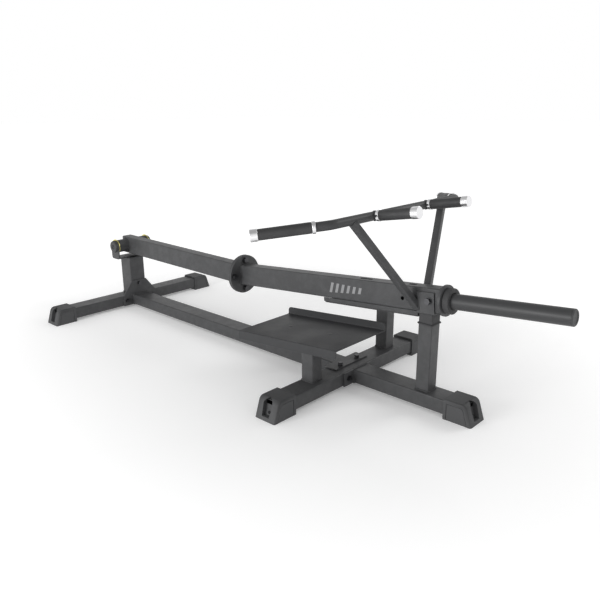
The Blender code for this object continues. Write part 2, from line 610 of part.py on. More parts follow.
def foot_plate():
    """Folded sheet: the near edge turns down, the far edge turns up, and the whole leans back."""
    lean = math.cos(math.atan(PLATE_SLOPE))
    thick = PLATE_THICK / lean
    corner = PLATE_BEND
    chord = corner * 0.3

    def section(x, down, up):
        top = plate_top(x)
        low = top - thick
        near, far = PLATE_NEAR_Y, PLATE_FAR_Y
        inner_near, inner_far = near + PLATE_THICK, far - PLATE_THICK
        points = [(near, top - down), (near, top - corner), (near + chord, top - chord),
                  (near + corner, top), (inner_far - corner, top), (inner_far - chord, top + chord),
                  (inner_far, top + corner), (inner_far, top + up), (far, top + up), (far, low + corner),
                  (far - chord, low + chord), (far - corner, low), (inner_near, low),
                  (inner_near, top - down)]
        return [Vector((FRONT_X + x, py, pz)) for py, pz in points]
    loops = [section(PLATE_REAR, PLATE_LIP_DOWN, PLATE_LIP_UP * 0.62),
             section(PLATE_REAR + 0.003, PLATE_LIP_DOWN, PLATE_LIP_UP * 0.88),
             section(PLATE_REAR + 0.010, PLATE_LIP_DOWN, PLATE_LIP_UP),
             section(PLATE_FRONT - 0.033, PLATE_LIP_DOWN, PLATE_LIP_UP),
             section(PLATE_FRONT - 0.010, PLATE_LIP_DOWN, PLATE_LIP_UP * 0.87),
             section(PLATE_FRONT - 0.002, PLATE_LIP_DOWN * 0.75, PLATE_LIP_UP * 0.80),
             section(PLATE_FRONT, PLATE_LIP_DOWN * 0.50, PLATE_LIP_UP * 0.76)]
    tilt = math.atan(PLATE_SLOPE)
    normal = Vector((-math.sin(tilt), 0, math.cos(tilt)))
    hole_r = PLATE_BOLT_R + HOLE_CLEARANCE
    seats = [Vector((FRONT_X + x, PLATE_BOLT_Y, plate_top(x))) for x in PLATE_BOLT_X]
    plate_cuts = [rod(seat, normal, hole_r, 0.03) for seat in seats]
    piece("foot_plate", drilled(skin(loops), plate_cuts), "powder_coat")

    under = plate_top(0) - thick - GAP / lean
    post = upright(PLATE_POST, POST_WALL, POST_CORNER, BEAM_TOP + GAP, under, PLATE_SLOPE, PLATE_POST_X)
    bmesh.ops.translate(post, vec=(FRONT_X + PLATE_POST_X, NEAR_POST_Y, 0), verts=post.verts)

    # Support arm, welded on: from the near post to the front bolt, parallel to the plate.
    inner_y = NEAR_POST_Y + PLATE_POST / 2 - WELD
    arm_length = PLATE_BOLT_Y + SUPPORT_ARM_PAST - inner_y
    arm = box_tube(arm_length, SUPPORT_ARM_W, SUPPORT_ARM_H, POST_WALL, POST_CORNER)
    bmesh.ops.rotate(arm, verts=arm.verts, matrix=Matrix.Rotation(math.radians(90), 3, "Z"))
    centre_drop = thick + (2 * GAP + SUPPORT_ARM_H / 2) / lean
    arm_at = Matrix.Translation((FRONT_X + SUPPORT_ARM_X, inner_y, plate_top(SUPPORT_ARM_X) - centre_drop))
    bmesh.ops.transform(arm, matrix=arm_at @ Matrix.Rotation(-tilt, 4, "Y"), verts=arm.verts)
    arm = drilled(arm, [rod(seats[0], normal, hole_r, 0.06)])
    piece("near_plate_post", welded(post, [arm]), "powder_coat")

    # Rear stand: a pad on its own short post, on the main rail.
    rear_x = PLATE_BOLT_X[1]
    pad_thick = PAD_THICK / lean

    def pad_section(x):
        high = plate_top(x) - thick - GAP / lean
        low = high - pad_thick
        points = ((PAD_NEAR_Y, low), (PAD_FAR_Y, low), (PAD_FAR_Y, high), (PAD_NEAR_Y, high))
        return [Vector((FRONT_X + x, py, pz)) for py, pz in points]
    pad = skin([pad_section(rear_x - PAD_LENGTH / 2), pad_section(rear_x + PAD_LENGTH / 2)])
    pad = drilled(pad, [rod(seats[1], normal, hole_r, 0.05)])
    under_pad = plate_top(0) - thick - pad_thick - GAP / lean + WELD
    post = upright(PLATE_POST, POST_WALL, POST_CORNER, BEAM_TOP + GAP, under_pad, PLATE_SLOPE, rear_x)
    bmesh.ops.translate(post, vec=(FRONT_X + rear_x, 0, 0), verts=post.verts)
    piece("plate_rear_stand", welded(pad, [post]), "powder_coat")

    for label, seat, under_it in zip(("front", "rear"), seats, (SUPPORT_ARM_H, PAD_THICK)):
        grip = PLATE_THICK + 2 * GAP + under_it
        bolt = bmesh.new()
        hex_bolt(bolt, aim(seat + normal * GAP, -normal), PLATE_BOLT_R, grip + PLATE_BOLT_R * 2.4)
        piece(f"foot_plate_bolt_{label}", bolt, "dark_fastener")

    # The taller post on the far side, closed by a moulded cap.
    post = upright(PLATE_POST, POST_WALL, POST_CORNER, BEAM_TOP + GAP, FAR_POST_TOP)
    piece("far_post", post, "powder_coat", (FRONT_X + PLATE_POST_X, FAR_POST_Y, 0))
    inside = PLATE_POST - 2 * POST_WALL - 2 * GAP
    spigot = rounded(inside, inside, POST_CORNER / 2)
    cover = rounded(PLATE_POST, PLATE_POST, POST_CORNER)
    crown_side = PLATE_POST - 2 * POST_CAP_EDGE
    crown = rounded(crown_side, crown_side, POST_CORNER)
    seat_z = FAR_POST_TOP + GAP
    cap = skin([along_z(spigot, seat_z - POST_CAP_PLUG), along_z(spigot, seat_z), along_z(cover, seat_z),
                along_z(cover, seat_z + POST_CAP * 0.6), along_z(crown, seat_z + POST_CAP)])
    piece("far_post_cap", cap, "moulded_foot", (FRONT_X + PLATE_POST_X, FAR_POST_Y, 0))


# ---------------------------------------------------------------- hinge

def hinge_frame_side():
    """Clevis, shaft, end caps and thrust washers, all fixed to the rear post."""
    floor_low = -CLEVIS_DROP
    floor_high = floor_low + CLEVIS_FLOOR
    inner = LUG_OUTER - LUG_THICK
    corner = CLEVIS_CORNER
    lug = [(LUG_RADIUS * math.cos(math.radians(a)), LUG_RADIUS * math.sin(math.radians(a)))
           for a in range(0, 181, 15)]
    lug += [(-LUG_RADIUS, floor_low + corner), (-LUG_RADIUS + corner * 0.3, floor_low + corner * 0.3),
            (-LUG_RADIUS + corner, floor_low), (LUG_RADIUS - corner, floor_low),
            (LUG_RADIUS - corner * 0.3, floor_low + corner * 0.3), (LUG_RADIUS, floor_low + corner)]
    loops = [[Vector((x, y, z)) for x, z in lug] for y in (-LUG_OUTER, LUG_OUTER)]
    shape = skin(loops)
    gap_between = block((-0.1, -inner, floor_high), (0.1, inner, 0.1))
    bore = rod((0, 0, 0), (0, 1, 0), SHAFT_R + HOLE_CLEARANCE, 0.3, SEGMENTS)
    piece("pivot_bracket", drilled(shape, [gap_between, bore]), "powder_coat", (REAR_X, 0, HINGE_Z))

    half = LUG_OUTER
    tap = BASE_BOLT_R + GAP
    shaft = turned([(-half + TAP_DEPTH, tap), (-half, tap), (-half, SHAFT_R), (half, SHAFT_R), (half, tap),
                    (half - TAP_DEPTH, tap)])
    piece("pivot_shaft", shaft, "turned_steel", (REAR_X, 0, HINGE_Z), turn=(0, 0, math.radians(90)),
          round_piece=True)
    thick = HINGE_CAP_THICK
    seat = thick - CAP_SCREW_DEPTH
    cap = [(0, HINGE_CAP_R), (thick - HINGE_CAP_EDGE, HINGE_CAP_R), (thick, HINGE_CAP_R - HINGE_CAP_EDGE),
           (thick, CAP_SCREW_R), (seat, CAP_SCREW_R), (seat, tap), (0, tap)]
    washer = [(0, THRUST_R), (THRUST_THICK, THRUST_R), (THRUST_THICK, SHAFT_R + HOLE_CLEARANCE),
              (0, SHAFT_R + HOLE_CLEARANCE)]
    facing_pair("pivot_cap", cap, LUG_OUTER + GAP, "powder_coat", (REAR_X, 0, HINGE_Z))
    facing_pair("thrust_washer", washer, inner - GAP - THRUST_THICK, "thrust_bronze", (REAR_X, 0, HINGE_Z))


def hinge_arm_side(pivot):
    """Barrel through the arm's rear end, with its two bushes."""
    half = LUG_OUTER - LUG_THICK - THRUST_THICK - 2 * GAP
    bore = BUSH_R + GAP
    barrel = turned_ring([(-half, BARREL_R), (half, BARREL_R), (half, bore), (-half, bore)])
    piece("pivot_barrel", barrel, "powder_coat", parent=pivot, turn=(0, 0, math.radians(90)),
          round_piece=True)
    bush = [(0, BUSH_R), (BUSH_LENGTH, BUSH_R), (BUSH_LENGTH, SHAFT_R + HOLE_CLEARANCE),
            (0, SHAFT_R + HOLE_CLEARANCE)]
    facing_pair("pivot_bush", bush, half - BUSH_LENGTH, "thrust_bronze", parent=pivot)


# ---------------------------------------------------------------- lever arm

def disc_with_bolts(start, thick):
    """One flange disc with its four bolt holes, from x = start."""
    edge = FLANGE_EDGE
    disc = turned([(start, FLANGE_R - edge), (start + edge, FLANGE_R), (start + thick - edge, FLANGE_R),
                   (start + thick, FLANGE_R - edge)], FINE)
    cuts = []
    for k in range(4):
        angle = math.radians(90 * k)
        centre = (start, FLANGE_BOLT_CIRCLE * math.cos(angle), FLANGE_BOLT_CIRCLE * math.sin(angle))
        cuts.append(rod(centre, (1, 0, 0), FLANGE_BOLT_R + HOLE_CLEARANCE, 0.05))
    return drilled(disc, cuts)


def rear_arm(pivot):
    """Level tube from the hinge to the flange joint; the barrel passes through it."""
    guide = empty("rear_arm_axis", tilt=-REAR_ARM_DROP, parent=pivot)
    length = ARM_TAIL + FLANGE_REACH - FLANGE_THICK - 2 * GAP
    tube = box_tube(length, ARM_W, ARM_H, ARM_WALL, ARM_CORNER)
    bmesh.ops.transform(tube, matrix=Matrix.Translation((-ARM_TAIL, 0, 0)), verts=tube.verts)
    tube = drilled(tube, [rod((0, 0, 0), (0, 1, 0), BARREL_R + GAP, 0.1, SEGMENTS)])
    piece("rear_arm_tube", tube, "powder_coat", parent=guide)
    piece("rear_flange_disc", disc_with_bolts(FLANGE_REACH - GAP / 2 - FLANGE_THICK, FLANGE_THICK),
          "powder_coat", parent=guide)


def front_arm(pivot):
    """Raised tube from the flange joint to the collar, and everything fixed to it."""
    joint = (FLANGE_REACH * math.cos(REAR_ARM_DROP), 0, -FLANGE_REACH * math.sin(REAR_ARM_DROP))
    guide = empty("front_arm_axis", joint, FRONT_ARM_RISE, pivot)
    # The flange joint stands square to the rear tube, and the front disc lies flat against the rear one.
    square = empty("flange_joint", joint, -REAR_ARM_DROP, pivot)
    piece("front_flange_disc", disc_with_bolts(GAP / 2, FLANGE_THICK), "powder_coat", parent=square)
    grip = 2 * FLANGE_THICK + GAP
    for k, label in enumerate(("far", "top", "near", "low")):
        angle = math.radians(90 * k)
        y = FLANGE_BOLT_CIRCLE * math.cos(angle)
        z = FLANGE_BOLT_CIRCLE * math.sin(angle)
        bolt = bmesh.new()
        hex_bolt(bolt, aim((GAP / 2 + FLANGE_THICK + GAP, y, z), (-1, 0, 0)), FLANGE_BOLT_R,
                 grip + GAP + FLANGE_BOLT_R * 2.4)
        piece(f"flange_bolt_{label}", bolt, "dark_fastener", parent=square)

    # The tube's rear end is cut to lie flat on the disc.
    bend = math.tan(FRONT_ARM_RISE + REAR_ARM_DROP)
    seat = GAP / 2 + FLANGE_THICK + GAP
    outer = rounded(ARM_W, ARM_H, ARM_CORNER)
    inner = rounded(ARM_W - 2 * ARM_WALL, ARM_H - 2 * ARM_WALL, ARM_CORNER - ARM_WALL)

    def mitred(section):
        return [Vector((seat + z * bend, y, z)) for y, z in section]
    tube_end = along_front_tube(REST_X + ARM_END_AHEAD)
    bolt_at = along_front_tube(REST_X + HANDLE_BOLT_AHEAD)
    tube = skin([mitred(outer), along_x(outer, tube_end), along_x(inner, tube_end), mitred(inner)], ring=True)
    tube = drilled(tube, [rod((bolt_at, 0, 0), (0, 1, 0), HANDLE_BOLT_R + HOLE_CLEARANCE, 2 * ARM_W)])
    piece("front_arm_tube", tube, "powder_coat", parent=guide)

    # Skid rail and rubber strip under the tube.
    half = SKID_W / 2
    top = -ARM_H / 2 - GAP
    low = top - SKID_H
    wall = SKID_WALL
    channel = ((-half, low), (half, low), (half, top), (half - wall, top), (half - wall, low + wall),
               (-half + wall, low + wall), (-half + wall, top), (-half, top))
    bracket_start = along_front_tube(REST_X - BRACKET_BEHIND)
    skid_end = bracket_start - SKID_CLEAR
    skid_start = skid_end - SKID_LENGTH
    rail = skin([along_x(channel, skid_start), along_x(channel, skid_end)])
    piece("skid_rail", rail, "powder_coat", parent=guide)
    strip = block((skid_start + STRIP_SETBACK, -half + STRIP_INSET, low - GAP - STRIP_THICK),
                  (skid_end, half - STRIP_INSET, low - GAP))
    piece("skid_strip", strip, "rubber", parent=guide)

    # Collar, bumper ring and weight horn.
    x = tube_end + GAP
    edge = COLLAR_EDGE
    collar = turned([(x, COLLAR_R - edge), (x + edge, COLLAR_R), (x + COLLAR_THICK - edge, COLLAR_R),
                     (x + COLLAR_THICK, COLLAR_R - edge)], FINE)
    piece("horn_collar", collar, "powder_coat", parent=guide, round_piece=True)
    x += COLLAR_THICK + GAP
    hole = HORN_R + GAP
    edge = BUMPER_EDGE
    face = x + BUMPER_THICK
    bumper = turned_ring([(x, BUMPER_R - edge / 2), (x + edge / 2, BUMPER_R), (face - edge, BUMPER_R),
                          (face, BUMPER_R - edge), (face, hole), (x, hole)], FINE)
    piece("bumper_ring", bumper, "rubber", parent=guide, round_piece=True)
    end = x + HORN_LENGTH + BUMPER_THICK
    bore = HORN_R - HORN_WALL
    horn = turned_ring([(x, HORN_R), (end, HORN_R), (end, bore), (x, bore)], FINE)
    piece("weight_horn", horn, "powder_coat", parent=guide, round_piece=True)
    lip = HORN_CAP_LIP
    cap = turned([(end - HORN_CAP_PLUG, bore - GAP), (end + GAP, bore - GAP), (end + GAP, HORN_R),
                  (end + GAP + lip * 0.5, HORN_R), (end + GAP + lip, HORN_R - HORN_CAP_EDGE)], FINE)
    piece("horn_end_cap", cap, "moulded_foot", parent=guide, round_piece=True)
    handle_bracket(guide, bracket_start, bolt_at)


def handle_bracket(guide, start, bolt_at):
    """U-shaped bracket round the front tube, with its through bolt."""
    inner = ARM_W / 2 + GAP
    outer = inner + BRACKET_WALL
    floor = -ARM_H / 2 - GAP
    low = floor - BRACKET_WALL
    top = BRACKET_SIDE_TOP
    corner = BRACKET_CORNER
    profile = ((-outer + corner, low), (outer - corner, low), (outer, low + corner), (outer, top),
               (inner, top), (inner, floor), (-inner, floor), (-inner, top), (-outer, top),
               (-outer, low + corner))
    bracket = skin([along_x(profile, start), along_x(profile, start + BRACKET_LENGTH)])
    bracket = drilled(bracket, [rod((bolt_at, 0, 0), (0, 1, 0), HANDLE_BOLT_R + HOLE_CLEARANCE, 2 * ARM_W)])
    piece("handle_bracket", bracket, "powder_coat", parent=guide)
    bolt = bmesh.new()
    hex_bolt(bolt, aim((bolt_at, -outer - GAP, 0), (0, 1, 0)), HANDLE_BOLT_R,
             2 * outer + GAP + HANDLE_BOLT_R * 2.4)
    piece("handle_bolt", bolt, "dark_fastener", parent=guide)
    nut = bmesh.new()
    hex_nut(nut, aim((bolt_at, outer + GAP, 0), (0, 1, 0)), HANDLE_BOLT_R)
    piece("handle_nut", nut, "dark_fastener", parent=guide)


# ---------------------------------------------------------------- handle

def bar_path():
    """Cross bar's centre line in the handle plane: points with the tangent at each."""
    reach = OUTER_REACH - CAP_WIDTH - GAP
    set_back = BEND_R * math.tan(SWEEP / 2)
    points = []
    for sign in (-1, 1):
        half = []
        straight_end = BEND_Y - set_back
        for step in range(7):
            angle = SWEEP * step / 6
            at = Vector((-BEND_R * (1 - math.cos(angle)), straight_end + BEND_R * math.sin(angle), 0))
            half.append((at, Vector((-math.sin(angle), math.cos(angle), 0))))
        tangent = half[-1][1]
        half.append((Vector((0, BEND_Y, 0)) + tangent * reach, tangent))
        if sign < 0:
            points += [(Vector((p.x, -p.y, 0)), Vector((-t.x, t.y, 0))) for p, t in reversed(half)]
        else:
            points += half
    return points


def cross_bar(plane):
    """Bent round tube with open ends, and the two inner stubs welded to it."""
    def rings(radius):
        made = []
        for point, tangent in bar_path():
            side = Vector((tangent.y, -tangent.x, 0))
            made.append([point + side * a + Vector((0, 0, b)) for a, b in circle(radius, COARSE)])
        return made
    loops = rings(BAR_R) + list(reversed(rings(BAR_R - BAR_WALL)))
    stub_end = NEUTRAL_REACH - CAP_WIDTH - GAP
    outer = circle(BAR_R, COARSE)
    inner = circle(BAR_R - BAR_WALL, COARSE)
    stubs = []
    for y in (-NEUTRAL_Y, NEUTRAL_Y):
        stub = skin([along_x(outer, STUB_START), along_x(outer, stub_end), along_x(inner, stub_end),
                     along_x(inner, STUB_START)], ring=True)
        stub = drilled(stub, [rod((0, 0, 0), (0, 1, 0), BAR_R - BAR_WALL / 2, 0.1, SEGMENTS)])
        bmesh.ops.translate(stub, vec=(0, y, 0), verts=stub.verts)
        stubs.append(stub)
    piece("cross_bar", welded(skin(loops, ring=True), stubs), "powder_coat", parent=plane, round_piece=True)


def grip_set(name, plane, place, ring_at, reach):
    """Ring, rubber grip and end cap on one tube end; local +X points outwards."""
    def put(label, bm, finish):
        move_from(bm, 0, place)
        piece(f"{name}_{label}", bm, finish, parent=plane, round_piece=True)
    bore = BAR_R + GAP
    edge = RING_EDGE
    ring_end = ring_at + RING_WIDTH
    put("ring", turned_ring([(ring_at, RING_R - edge), (ring_at + edge, RING_R), (ring_end - edge, RING_R),
                             (ring_end, RING_R - edge), (ring_end, bore), (ring_at, bore)]), "chrome")
    grip_start = ring_end + GAP
    cap_start = reach - CAP_WIDTH
    put("grip", turned_ring([(grip_start, GRIP_R), (cap_start - GAP, GRIP_R), (cap_start - GAP, bore),
                             (grip_start, bore)]), "grip_rubber")
    spigot = BAR_R - BAR_WALL - GAP
    put("end_cap", turned([(cap_start - CAP_SPIGOT, spigot), (cap_start, spigot), (cap_start, CAP_R),
                           (reach - CAP_EDGE, CAP_R), (reach, CAP_R - CAP_EDGE)]), "chrome")


def strut_mesh(sign):
    """Rectangular tube from the bracket's side to the underside of the cross bar."""
    foot_x = REST_X - STRUT_FOOT_BEHIND
    foot_z = front_tube_z(foot_x) - STRUT_FOOT_DROP
    low = Vector((FRONT_X + foot_x, sign * (ARM_W / 2 + 2 * GAP + BRACKET_WALL), foot_z))
    high = Vector((FRONT_X + BAR_X, sign * STRUT_TOP_Y, BAR_Z))
    run = (high - low).normalized()
    across = run.cross(Vector((1, 0, 0))).normalized()
    fore = across.cross(run).normalized()
    start_y = low.y

    def section(width, thick):
        return [fore * a + across * b for a, b in rounded(width, thick, STRUT_CORNER, 2)]

    def foot_loop(offsets):
        loop = []
        for offset in offsets:
            point = low + offset
            loop.append(point + run * ((start_y - point.y) / run.y))
        return loop
    outer = section(STRUT_W, STRUT_T)
    inner = section(STRUT_W - 2 * STRUT_WALL, STRUT_T - 2 * STRUT_WALL)
    tube = skin([foot_loop(outer), [high + offset for offset in outer],
                 [high + offset for offset in inner], foot_loop(inner)], ring=True)
    cope = rod((high.x, high.y, high.z), (0, 1, 0), BAR_R + GAP, 0.2, SEGMENTS)
    above = block((high.x - 0.1, high.y - 0.1, high.z), (high.x + 0.1, high.y + 0.1, high.z + 0.1))
    return drilled(tube, [cope, above])


def handle(pivot):
    """Multi-grip handle, welded up from a bent cross bar, two stubs and two struts."""
    pivot_at = Vector((REAR_X, 0, HINGE_Z))
    centre = Vector((FRONT_X + BAR_X, 0, BAR_Z)) - pivot_at
    plane = empty("handle_plane", centre, HANDLE_TILT, pivot)
    cross_bar(plane)
    for side, sign in (("near", -1), ("far", 1)):
        outward = (-math.sin(SWEEP), sign * math.cos(SWEEP), 0)
        grip_set(f"{side}_outer", plane, aim((0, sign * BEND_Y, 0), outward), OUTER_RING_AT, OUTER_REACH)
        grip_set(f"{side}_inner", plane, aim((0, sign * NEUTRAL_Y, 0), (1, 0, 0)), NEUTRAL_RING_AT,
                 NEUTRAL_REACH)
        strut = strut_mesh(sign)
        bmesh.ops.translate(strut, vec=-pivot_at, verts=strut.verts)
        piece(f"{side}_strut", strut, "powder_coat", parent=pivot)


def main():
    for old in list(bpy.data.objects):
        bpy.data.objects.remove(old)
    front_end(rear_end())
    rest_post()
    foot_plate()
    hinge_frame_side()
    pivot = empty("lever_pivot", (REAR_X, 0, HINGE_Z))
    hinge_arm_side(pivot)
    rear_arm(pivot)
    front_arm(pivot)
    handle(pivot)


main()
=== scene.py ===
"""Looks of a plate-loaded lever row: coated steel, moulded feet, rubber and chrome round a fixed frame."""
import json
import math

import bmesh
import bpy
from mathutils import Matrix, Vector


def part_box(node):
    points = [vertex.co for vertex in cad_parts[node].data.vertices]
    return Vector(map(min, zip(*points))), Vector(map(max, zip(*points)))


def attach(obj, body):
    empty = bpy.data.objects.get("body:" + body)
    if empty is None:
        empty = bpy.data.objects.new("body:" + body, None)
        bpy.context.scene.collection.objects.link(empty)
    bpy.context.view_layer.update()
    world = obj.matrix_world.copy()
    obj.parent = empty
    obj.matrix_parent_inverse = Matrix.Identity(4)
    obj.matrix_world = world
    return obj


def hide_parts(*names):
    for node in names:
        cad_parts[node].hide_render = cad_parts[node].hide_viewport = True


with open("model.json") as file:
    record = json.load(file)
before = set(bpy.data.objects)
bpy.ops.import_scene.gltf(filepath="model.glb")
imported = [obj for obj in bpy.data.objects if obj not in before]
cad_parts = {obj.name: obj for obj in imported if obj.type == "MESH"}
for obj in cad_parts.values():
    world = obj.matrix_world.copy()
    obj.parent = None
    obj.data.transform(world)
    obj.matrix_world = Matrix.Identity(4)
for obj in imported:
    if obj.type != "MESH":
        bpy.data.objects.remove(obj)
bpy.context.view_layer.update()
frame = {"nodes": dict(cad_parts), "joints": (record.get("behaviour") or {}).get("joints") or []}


# ------------------------------------------------------------------ studio
# A white sweep under soft box lights. The camera stands at hip height in front of the near side
# and looks along the machine, towards the hinge.

CAMERA_AT = (1.65341, -1.69125, 0.96981)
CAMERA_YAW = math.radians(42.883)
CAMERA_PITCH = math.radians(17.314)
CAMERA_ROLL = math.radians(-0.293)
CAMERA_LENS = 38.236
SWEEP_SIZE = 60.0
SWEEP_PAINTED_GLOW = (0.15, 0.46)    # painted glow of the paper: low under the machine as a painted shadow, high far from it
SWEEP_PAINTED_SHADOW_RANGE = (0.5, 2.3)     # distances from the middle over which the painted shadow fades into the painted glow
SKY_LOW = 1.0            # brightness of the studio's walls and of its ceiling
SKY_HIGH = 0.42


def camera_turn(yaw, pitch, roll):
    """World matrix of a camera from its heading, its downward tilt and its roll."""
    ahead = Vector((-math.sin(yaw) * math.cos(pitch), math.cos(yaw) * math.cos(pitch), -math.sin(pitch)))
    level = Vector((math.cos(yaw), math.sin(yaw), 0))
    above = level.cross(ahead)
    side = level * math.cos(roll) + above * math.sin(roll)
    top = above * math.cos(roll) - level * math.sin(roll)
    return Matrix((side, top, -ahead)).transposed().to_4x4()


def soft_box(name, at, towards, size, power):
    """A square area light that faces a point."""
    light = bpy.data.lights.new(name, "AREA")
    light.shape = "SQUARE"
    light.size = size
    light.energy = power
    lamp = bpy.data.objects.new(name, light)
    bpy.context.scene.collection.objects.link(lamp)
    facing = (Vector(towards) - Vector(at)).to_track_quat("-Z", "Y").to_matrix().to_4x4()
    lamp.matrix_world = Matrix.Translation(at) @ facing


camera = bpy.data.objects.new("camera", bpy.data.cameras.new("camera"))
camera.data.sensor_width = 36
camera.data.lens = CAMERA_LENS
camera.data.clip_end = 200
camera.matrix_world = Matrix.Translation(CAMERA_AT) @ camera_turn(CAMERA_YAW, CAMERA_PITCH, CAMERA_ROLL)
bpy.context.scene.collection.objects.link(camera)
bpy.context.scene.camera = camera
bpy.context.scene.view_settings.view_transform = "Standard"

soft_box("key_light", (-0.4, -3.4, 0.9), (0.1, 0, 0.25), 1.5, 62)
soft_box("rim_light", (1.6, 2.6, 2.2), (0.3, 0, 0.4), 1.4, 22)

world = bpy.data.worlds.new("studio")
world.use_nodes = True
sky = world.node_tree
sky.nodes["Background"].inputs["Color"].default_value = (1, 1, 1, 1)
sky_way = sky.nodes.new("ShaderNodeTexCoord")
sky_height = sky.nodes.new("ShaderNodeSeparateXYZ")
sky_fall = sky.nodes.new("ShaderNodeMapRange")
sky_fall.inputs["From Min"].default_value = 0.22
sky_fall.inputs["From Max"].default_value = 0.85
sky_fall.inputs["To Min"].default_value = SKY_LOW
sky_fall.inputs["To Max"].default_value = SKY_HIGH
sky.links.new(sky_way.outputs["Generated"], sky_height.inputs[0])
sky.links.new(sky_height.outputs["Z"], sky_fall.inputs["Value"])
sky.links.new(sky_fall.outputs["Result"], sky.nodes["Background"].inputs["Strength"])
bpy.context.scene.world = world

sweep_mesh = bpy.data.meshes.new("sweep")
half = SWEEP_SIZE / 2
corners = [(-half, -half, 0), (half, -half, 0), (half, half, 0), (-half, half, 0)]
sweep_mesh.from_pydata(corners, [], [(0, 1, 2, 3)])
sweep = bpy.data.objects.new("sweep", sweep_mesh)
bpy.context.scene.collection.objects.link(sweep)
paper = bpy.data.materials.new("sweep_paper")
paper.use_nodes = True
paper_shader = paper.node_tree.nodes["Principled BSDF"]
paper_shader.inputs["Base Color"].default_value = (0.93, 0.93, 0.93, 1)
paper_shader.inputs["Roughness"].default_value = 0.9
paper_shader.inputs["Specular IOR Level"].default_value = 0.1
paper_shader.inputs["Emission Color"].default_value = (1, 1, 1, 1)
# The paper glows by itself, and less near the middle: painted light on the floor, with a painted shadow under
# the machine.
paper_place = paper.node_tree.nodes.new("ShaderNodeTexCoord")
paper_reach = paper.node_tree.nodes.new("ShaderNodeVectorMath")
paper_reach.operation = "LENGTH"
paper_painted_glow = paper.node_tree.nodes.new("ShaderNodeMapRange")
paper_painted_glow.interpolation_type = "SMOOTHSTEP"
paper_painted_glow.inputs["From Min"].default_value = SWEEP_PAINTED_SHADOW_RANGE[0]
paper_painted_glow.inputs["From Max"].default_value = SWEEP_PAINTED_SHADOW_RANGE[1]
paper_painted_glow.inputs["To Min"].default_value = SWEEP_PAINTED_GLOW[0]
paper_painted_glow.inputs["To Max"].default_value = SWEEP_PAINTED_GLOW[1]
paper.node_tree.links.new(paper_place.outputs["Object"], paper_reach.inputs[0])
paper.node_tree.links.new(paper_reach.outputs["Value"], paper_painted_glow.inputs["Value"])
paper.node_tree.links.new(paper_painted_glow.outputs["Result"], paper_shader.inputs["Emission Strength"])
sweep_mesh.materials.append(paper)


# ------------------------------------------------------------------ welded steel frame
# Rectangular steel tubes and laser-cut plates, welded up and powder coated in satin charcoal.
# Each is the frame's own part with its cut edges rounded over, as the coating does on real steel.

EDGE = 0.0009            # rounding of a cut edge under the coating
SHARP = math.radians(38)
ORANGE_PEEL = 620        # texture of the coating, in waves per metre
SCUFF_SCALE = 34


class Value:
    """A shader socket that takes part in Python sums."""

    def __init__(self, finish, socket):
        self.finish = finish
        self.socket = socket

    def sum(self, operation, first, second):
        return self.finish.node("ShaderNodeMath", {"operation": operation}, {0: first, 1: second})

    def __add__(self, other):
        return self.sum("ADD", self, other)

    def __sub__(self, other):
        return self.sum("SUBTRACT", self, other)

    def __mul__(self, other):
        return self.sum("MULTIPLY", self, other)

    def __rsub__(self, other):
        return self.sum("SUBTRACT", other, self)

    __radd__ = __add__
    __rmul__ = __mul__


class Finish:
    """One surface finish: a Principled material and the nodes that vary it."""

    def __init__(self, name, roughness, metallic=0.0, **constants):
        self.material = bpy.data.materials.new(name)
        self.material.use_nodes = True
        self.tree = self.material.node_tree
        self.shader = self.tree.nodes["Principled BSDF"]
        self.shader.inputs["Roughness"].default_value = roughness
        self.shader.inputs["Metallic"].default_value = metallic
        for socket, value in constants.items():
            self.shader.inputs[socket.replace("_", " ")].default_value = value
        self.place = self.node("ShaderNodeTexCoord", output="Object")

    def node(self, kind, settings=None, sockets=None, output=0):
        """Any node: settings first, then numbers or links for its sockets."""
        made = self.tree.nodes.new(kind)
        for name, value in (settings or {}).items():
            setattr(made, name, value)
        for name, value in (sockets or {}).items():
            if isinstance(value, Value):
                self.tree.links.new(value.socket, made.inputs[name])
            else:
                made.inputs[name].default_value = value
        return Value(self, made.outputs[output])

    def noise(self, scale, detail=3.0, roughness=0.5, at=None):
        sockets = {"Vector": at or self.place, "Scale": scale, "Detail": detail, "Roughness": roughness}
        return self.node("ShaderNodeTexNoise", {}, sockets)

    def band(self, value, low, high):
        """0 below low, 1 above high and straight between."""
        sockets = {"Value": value, "From Min": low, "From Max": high}
        return self.node("ShaderNodeMapRange", {"clamp": True}, sockets)

    def blend(self, mask, first, second):
        colours = [value if isinstance(value, Value) else (*value, 1.0) for value in (first, second)]
        sockets = {0: mask, 6: colours[0], 7: colours[1]}
        return self.node("ShaderNodeMix", {"data_type": "RGBA"}, sockets, output=2)

    def bump(self, height, depth, strength):
        return self.node("ShaderNodeBump", {}, {"Height": height, "Distance": depth, "Strength": strength})

    def edges(self):
        """1 on the rounding of an edge, from the piece's own attribute."""
        return self.node("ShaderNodeAttribute", {"attribute_name": "edge"}, output="Fac")

    def shows(self, **inputs):
        """Feeds the shader: colour, roughness, metal and normal."""
        for name, value in inputs.items():
            self.tree.links.new(value.socket, self.shader.inputs[name.replace("_", " ")])
        return self.material


